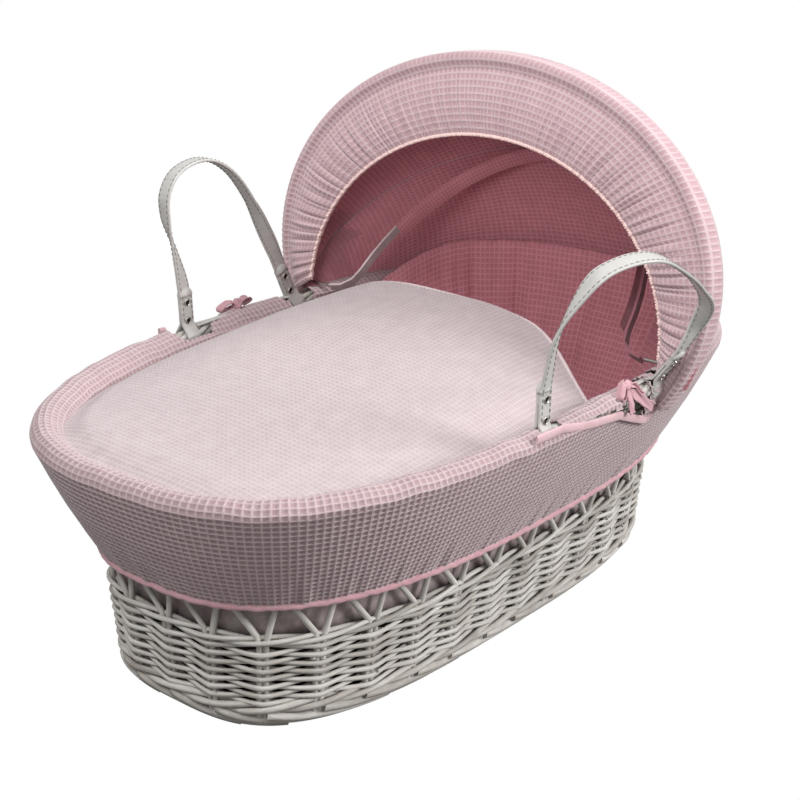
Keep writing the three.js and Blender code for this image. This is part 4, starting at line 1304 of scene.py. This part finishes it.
def add_edge_stitches(soup, handle, edge, centre, width, depth):
    """The stitches along one edge of the strap and of both its legs, on both faces."""
    for face in (-1, 1):
        line = centre + width * (edge * STITCH_EDGE) + depth * (face * (STRAP_THICK / 2 + 0.1))
        stitch_line(soup, line[6:-6], (depth * face)[6:-6])
    side, reach = handle["side"], np.linspace(TAB_LENGTH - 8, 14, 12)
    for leg in handle["legs"]:
        for face in (-1, 1):
            line = leg_point(side, leg, edge * STITCH_EDGE, reach, face * (TAB_THICK / 2 + 0.1))
            lift = leg_point(side, leg, 0.0, reach, face * 2.0) - leg_point(side, leg, 0.0, reach, 0.0)
            stitch_line(soup, line, unit(lift))


def make_handle(label):
    """A leather loop with its two legs, its stitching and its four rivets."""
    handle, body = HANDLES[label], "handle_" + label
    centre, width, depth = strap_frames(handle, 14)
    leather = Soup()
    add_strip(leather, centre, width, depth, STRAP_WIDTH / 2, STRAP_THICK / 2)
    for leg in handle["legs"]:
        add_leg(leather, handle["side"], leg)
    place(leather.mesh(body + "_leather", LEATHER), body, "strap_leather", body)
    thread = Soup()
    for edge in (-1, 1):
        add_edge_stitches(thread, handle, edge, centre, width, depth)
    place(thread.mesh(body + "_stitching", THREAD), body, "strap_leather")
    for leg, end in zip(handle["legs"], ("foot", "head")):
        for reach, level in zip(RIVET_REACH, ("low", "high")):
            make_rivet(f"rivet_{label}_{end}_{level}", body, handle["side"], leg, reach)


def make_rivet(name, body, side, leg, reach):
    """A tubular rivet: a rolled rim on both faces of the leg, with a dark disc in each hollow as painted
    shade.
    """
    soup, hollow = Soup(), Soup()
    face = TAB_THICK / 2
    around = 2 * math.pi * ring_columns(RIVET_SIDES)
    profile = ((4.4, face + 0.1), (4.35, face + 0.7), (3.9, face + 1.2), (3.3, face + 1.2),
               (2.8, face + 0.7), (2.7, face - 0.6), (2.7, 0.0))
    for way in (1, -1):
        rings = [leg_point(side, leg, r * np.cos(around), reach + r * np.sin(around), way * out)
                 for r, out in profile + ((2.75, face + 0.15),)]
        faces, uv = grid_faces(RIVET_SIDES, len(profile), True)
        faces = faces if way * side > 0 else faces[:, ::-1]
        soup.add(np.stack(rings[:-1], 1), faces.tolist(), uv)
        # Painted shade: a dark disc closes the hollow just below the rivet's rim.
        hollow.add(rings[-1], [list(range(RIVET_SIDES))])
    place(soup.mesh(name + "_metal", NICKEL), body, "nickel", name)
    place(hollow.mesh(name + "_hollow", RIVET_HOLLOW_SHADE), body, "nickel")


def make_rim_strap(label):
    """The leather strip on the rim between the two legs of a handle."""
    side, legs = HANDLES[label]["side"], HANDLES[label]["legs"]
    x = np.linspace(legs[0][0] + STRAP_WIDTH / 2 + 2, legs[1][0] - STRAP_WIDTH / 2 - 2, 40)
    rim_y = half_width(x, RIM_FOOT, RIM_HALF, RIM_POWER)
    lean_in = 25 * smooth((x - 40) / 35) * (side < 0)
    sunk = 1.6 * (1 - smooth((x - 45) / 15)) * (side < 0)
    turns = np.linspace(55, 115, 12)
    rows = []
    for reach, order in ((RIM_RADIUS + 1.6, turns), (RIM_RADIUS + 3.2, turns[::-1])):
        for degrees in order:
            a = np.radians(degrees + lean_in)
            out = reach + 0.35 * np.sin(x / 9 + 3 * a) - sunk
            rows.append(np.stack([x, side * (rim_y + out * np.cos(a)), RIM_Z - 0.3 + out * np.sin(a)], -1))
    points = np.stack(rows, 1)
    size, last = points.shape[1], (len(x) - 1) * points.shape[1]
    faces, uv = grid_faces(len(x), size, False, True)
    ends = [list(range(size))[::-1], list(range(last, last + size))]
    obj = make_mesh(f"rim_strap_{label}_leather", points, faces.tolist() + ends, LEATHER, uv)
    return place(obj, "root", "strap_leather", f"rim_strap_{label}")


# ---------------------------------------------------------------- ties
TIES = {"left": (1, -2), "right": (-1, 42)}
TIE_LIFT, TIE_OUT, TIE_WIDTH = 17.0, 4.0, 10.0
TIE_LOOPS = {("left", "foot"): (24, 5, 2), ("left", "head"): (26, 5, -1),     # length, height and sag
             ("right", "foot"): (17, 5, 6), ("right", "head"): (24, 4, 10)}
TIE_TAILS = {                                                                 # along, out and up
    ("left", "foot"): ((-3, 5, -2), (-8, 10, -7), (-12, 13, -16), (-14, 14, -27)),
    ("left", "head"): ((3, 5, -2), (8, 10, -7), (13, 13, -16), (15, 14, -26)),
    ("right", "foot"): ((-2, 5, -3), (-3, 8, -9), (-2, 10, -17), (-1, 11, -25)),
    ("right", "head"): ((3, 5, -3), (13, 9, -12), (27, 10, -22), (44, 9, -32))}


def ribbon(name, knots, widths, node, seed):
    """A soft ribbon along the knots, cupped a little and uneven at its edges."""
    centre = smooth_path(knots, 10)
    place_on = np.linspace(0, len(knots) - 1, len(centre))
    axis = np.stack([np.interp(place_on, np.arange(len(knots)), np.array(widths, float)[:, k])
                     for k in range(3)], -1)
    along = unit(np.gradient(centre, axis=0))
    width = unit(axis - (axis * along).sum(1, keepdims=True) * along)
    depth = unit(np.cross(width, along))
    q = np.linspace(0, 1, len(centre))
    pinch = 0.62 + 0.38 * smooth(q * 4) + 0.06 * np.sin(q * 19 + seed)
    rows = []
    for share in np.linspace(-1, 1, 9):
        cup = 1.5 * (1 - share ** 2) + 0.5 * np.sin(5 * share + 9 * q + seed)
        rows.append(centre + width * (share * TIE_WIDTH / 2 * pinch)[:, None] + depth * cup[:, None])
    faces, uv = grid_faces(len(centre), 9)
    obj = make_mesh(name, np.stack(rows, 1), faces, TRIM, uv)
    thicken(obj, RIBBON_THICK, 0.0)
    place(obj, "root", "trim_fabric", node)
    return obj


def make_tie(label):
    """A bow of ribbon on one side: a knot, two loops and two tails."""
    side, x = TIES[label]
    centre = np.array([x, side * (RIM_HALF + TIE_OUT), RIM_Z + TIE_LIFT])
    make_tie_knot(label, centre)
    for end, way in (("foot", -1), ("head", 1)):
        long, high, sag = TIE_LOOPS[label, end]
        loop = ((4, 1, 1), (0.4 * long, 2, high), (0.8 * long, 4, 0.8 * high - sag), (long, 5, -sag),
                (0.8 * long, 5, -0.5 * high - sag), (0.4 * long, 3, -0.6 * high), (4, 1, -1))
        flat = [(0, 1, 0.2)] * 2 + [(0, 1, 0)] * 3 + [(0, 1, -0.2)] * 2
        ribbon(f"tie_loop_{label}_{end}_ribbon", centre + np.array(loop) * (way, side, 1), flat,
               f"tie_loop_{label}_{end}", 1.0 + way)
        tail = TIE_TAILS[label, end]
        ribbon(f"tie_tail_{label}_{end}_ribbon", centre + np.array(tail) * (1, side, 1),
               [(way, 0, 0.5)] * len(tail), f"tie_tail_{label}_{end}", 2.0 + way)


def make_tie_knot(label, centre):
    """A small wrapped ball of ribbon."""
    turns, levels = 28, 16
    u, v = np.meshgrid(2 * math.pi * ring_columns(turns), np.linspace(0.05, 0.95, levels) * math.pi,
                       indexing="ij")
    wrap = 1 + 0.10 * np.sin(3 * u + 4 * v) + 0.05 * np.sin(7 * u - 3 * v)
    points = np.stack([6.0 * wrap * np.sin(v) * np.cos(u), 6.0 * wrap * np.sin(v) * np.sin(u),
                       7.5 * wrap * np.cos(v)], -1) + centre
    faces, uv = grid_faces(turns, levels, True)
    starts = [k * levels for k in range(turns)]
    ends = [starts, [start + levels - 1 for start in starts][::-1]]
    obj = make_mesh("tie_knot_cloth_" + label, points, faces.tolist() + ends, TRIM, uv)
    return place(obj, "root", "trim_fabric", "tie_knot_" + label)


# ---------------------------------------------------------------- camera, lights and floor
CAMERA = {"place": (-1247.5, -1034.5, 808.7), "azimuth": -50.19, "elevation": 19.92, "lens": 71.24}


def add_looking(name, data, place_at, towards):
    """Adds a camera or a light that looks in the direction towards."""
    made = bpy.data.objects.new(name, data)
    made.location = place_at
    made.rotation_mode = "QUATERNION"
    made.rotation_quaternion = towards.to_track_quat("-Z", "Y")
    bpy.context.scene.collection.objects.link(made)
    return made


def make_camera():
    data = bpy.data.cameras.new("camera")
    data.lens = CAMERA["lens"]
    data.sensor_width = 36
    data.clip_start, data.clip_end = 0.01, 50
    azimuth, elevation = math.radians(CAMERA["azimuth"]), math.radians(CAMERA["elevation"])
    back = Vector((math.sin(azimuth) * math.cos(elevation), -math.cos(azimuth) * math.cos(elevation),
                   math.sin(elevation)))
    bpy.context.scene.camera = add_looking("camera", data, Vector(CAMERA["place"]) * TO_METRES, -back)


def sun_light(name, towards, spread, strength):
    """A distant soft light that comes from the given direction."""
    data = bpy.data.lights.new(name, "SUN")
    data.angle = math.radians(spread)
    data.energy = strength
    add_looking(name, data, (0, 0, 0), -Vector(towards))


def spot_light(name, place_at, aim, cone, power):
    data = bpy.data.lights.new(name, "SPOT")
    data.spot_size, data.spot_blend = math.radians(cone), 0.7
    data.shadow_soft_size = 0.3
    data.energy = power
    add_looking(name, data, place_at, Vector(aim) - Vector(place_at))


def make_studio():
    """The floor, the even light all round, two suns and a spot on the hood."""
    far = 9000
    corners = [(-far, -far, 0), (far, -far, 0), (far, far, 0), (-far, far, 0)]
    floor = make_mesh("floor", corners, [[0, 1, 2, 3]], floor_material())
    world = bpy.data.worlds.new("studio")
    world.use_nodes = True
    nodes, links = world.node_tree.nodes, world.node_tree.links
    soft, white = nodes["Background"], nodes.new("ShaderNodeBackground")
    for light, strength in ((soft, 0.48), (white, 1.0)):
        light.inputs["Color"].default_value = (1.0, 1.0, 1.0, 1)
        light.inputs["Strength"].default_value = strength
    path, both = nodes.new("ShaderNodeLightPath"), nodes.new("ShaderNodeMixShader")
    links.new(path.outputs["Is Camera Ray"], both.inputs[0])
    links.new(soft.outputs[0], both.inputs[1])
    links.new(white.outputs[0], both.inputs[2])
    links.new(both.outputs[0], nodes["World Output"].inputs["Surface"])
    bpy.context.scene.world = world
    sun_light("key", (-0.6, -0.05, 1.1), 30, 2.05)
    sun_light("side", (0.6, -1.0, 0.55), 25, 3.1)
    spot_light("hood", (-1.1, -0.5, 0.95), (0.24, 0.0, 0.42), 30, 34)
    bpy.context.scene.view_settings.view_transform = "Standard"


# ---------------------------------------------------------------- assembly
make_camera()
make_studio()
make_basket()
make_lining()
make_mattress()
make_bumper()
make_skirt()
make_coverlet()
make_hood()
for label in HANDLES:
    make_handle(label)
    make_rim_strap(label)
for label in TIES:
    make_tie(label)
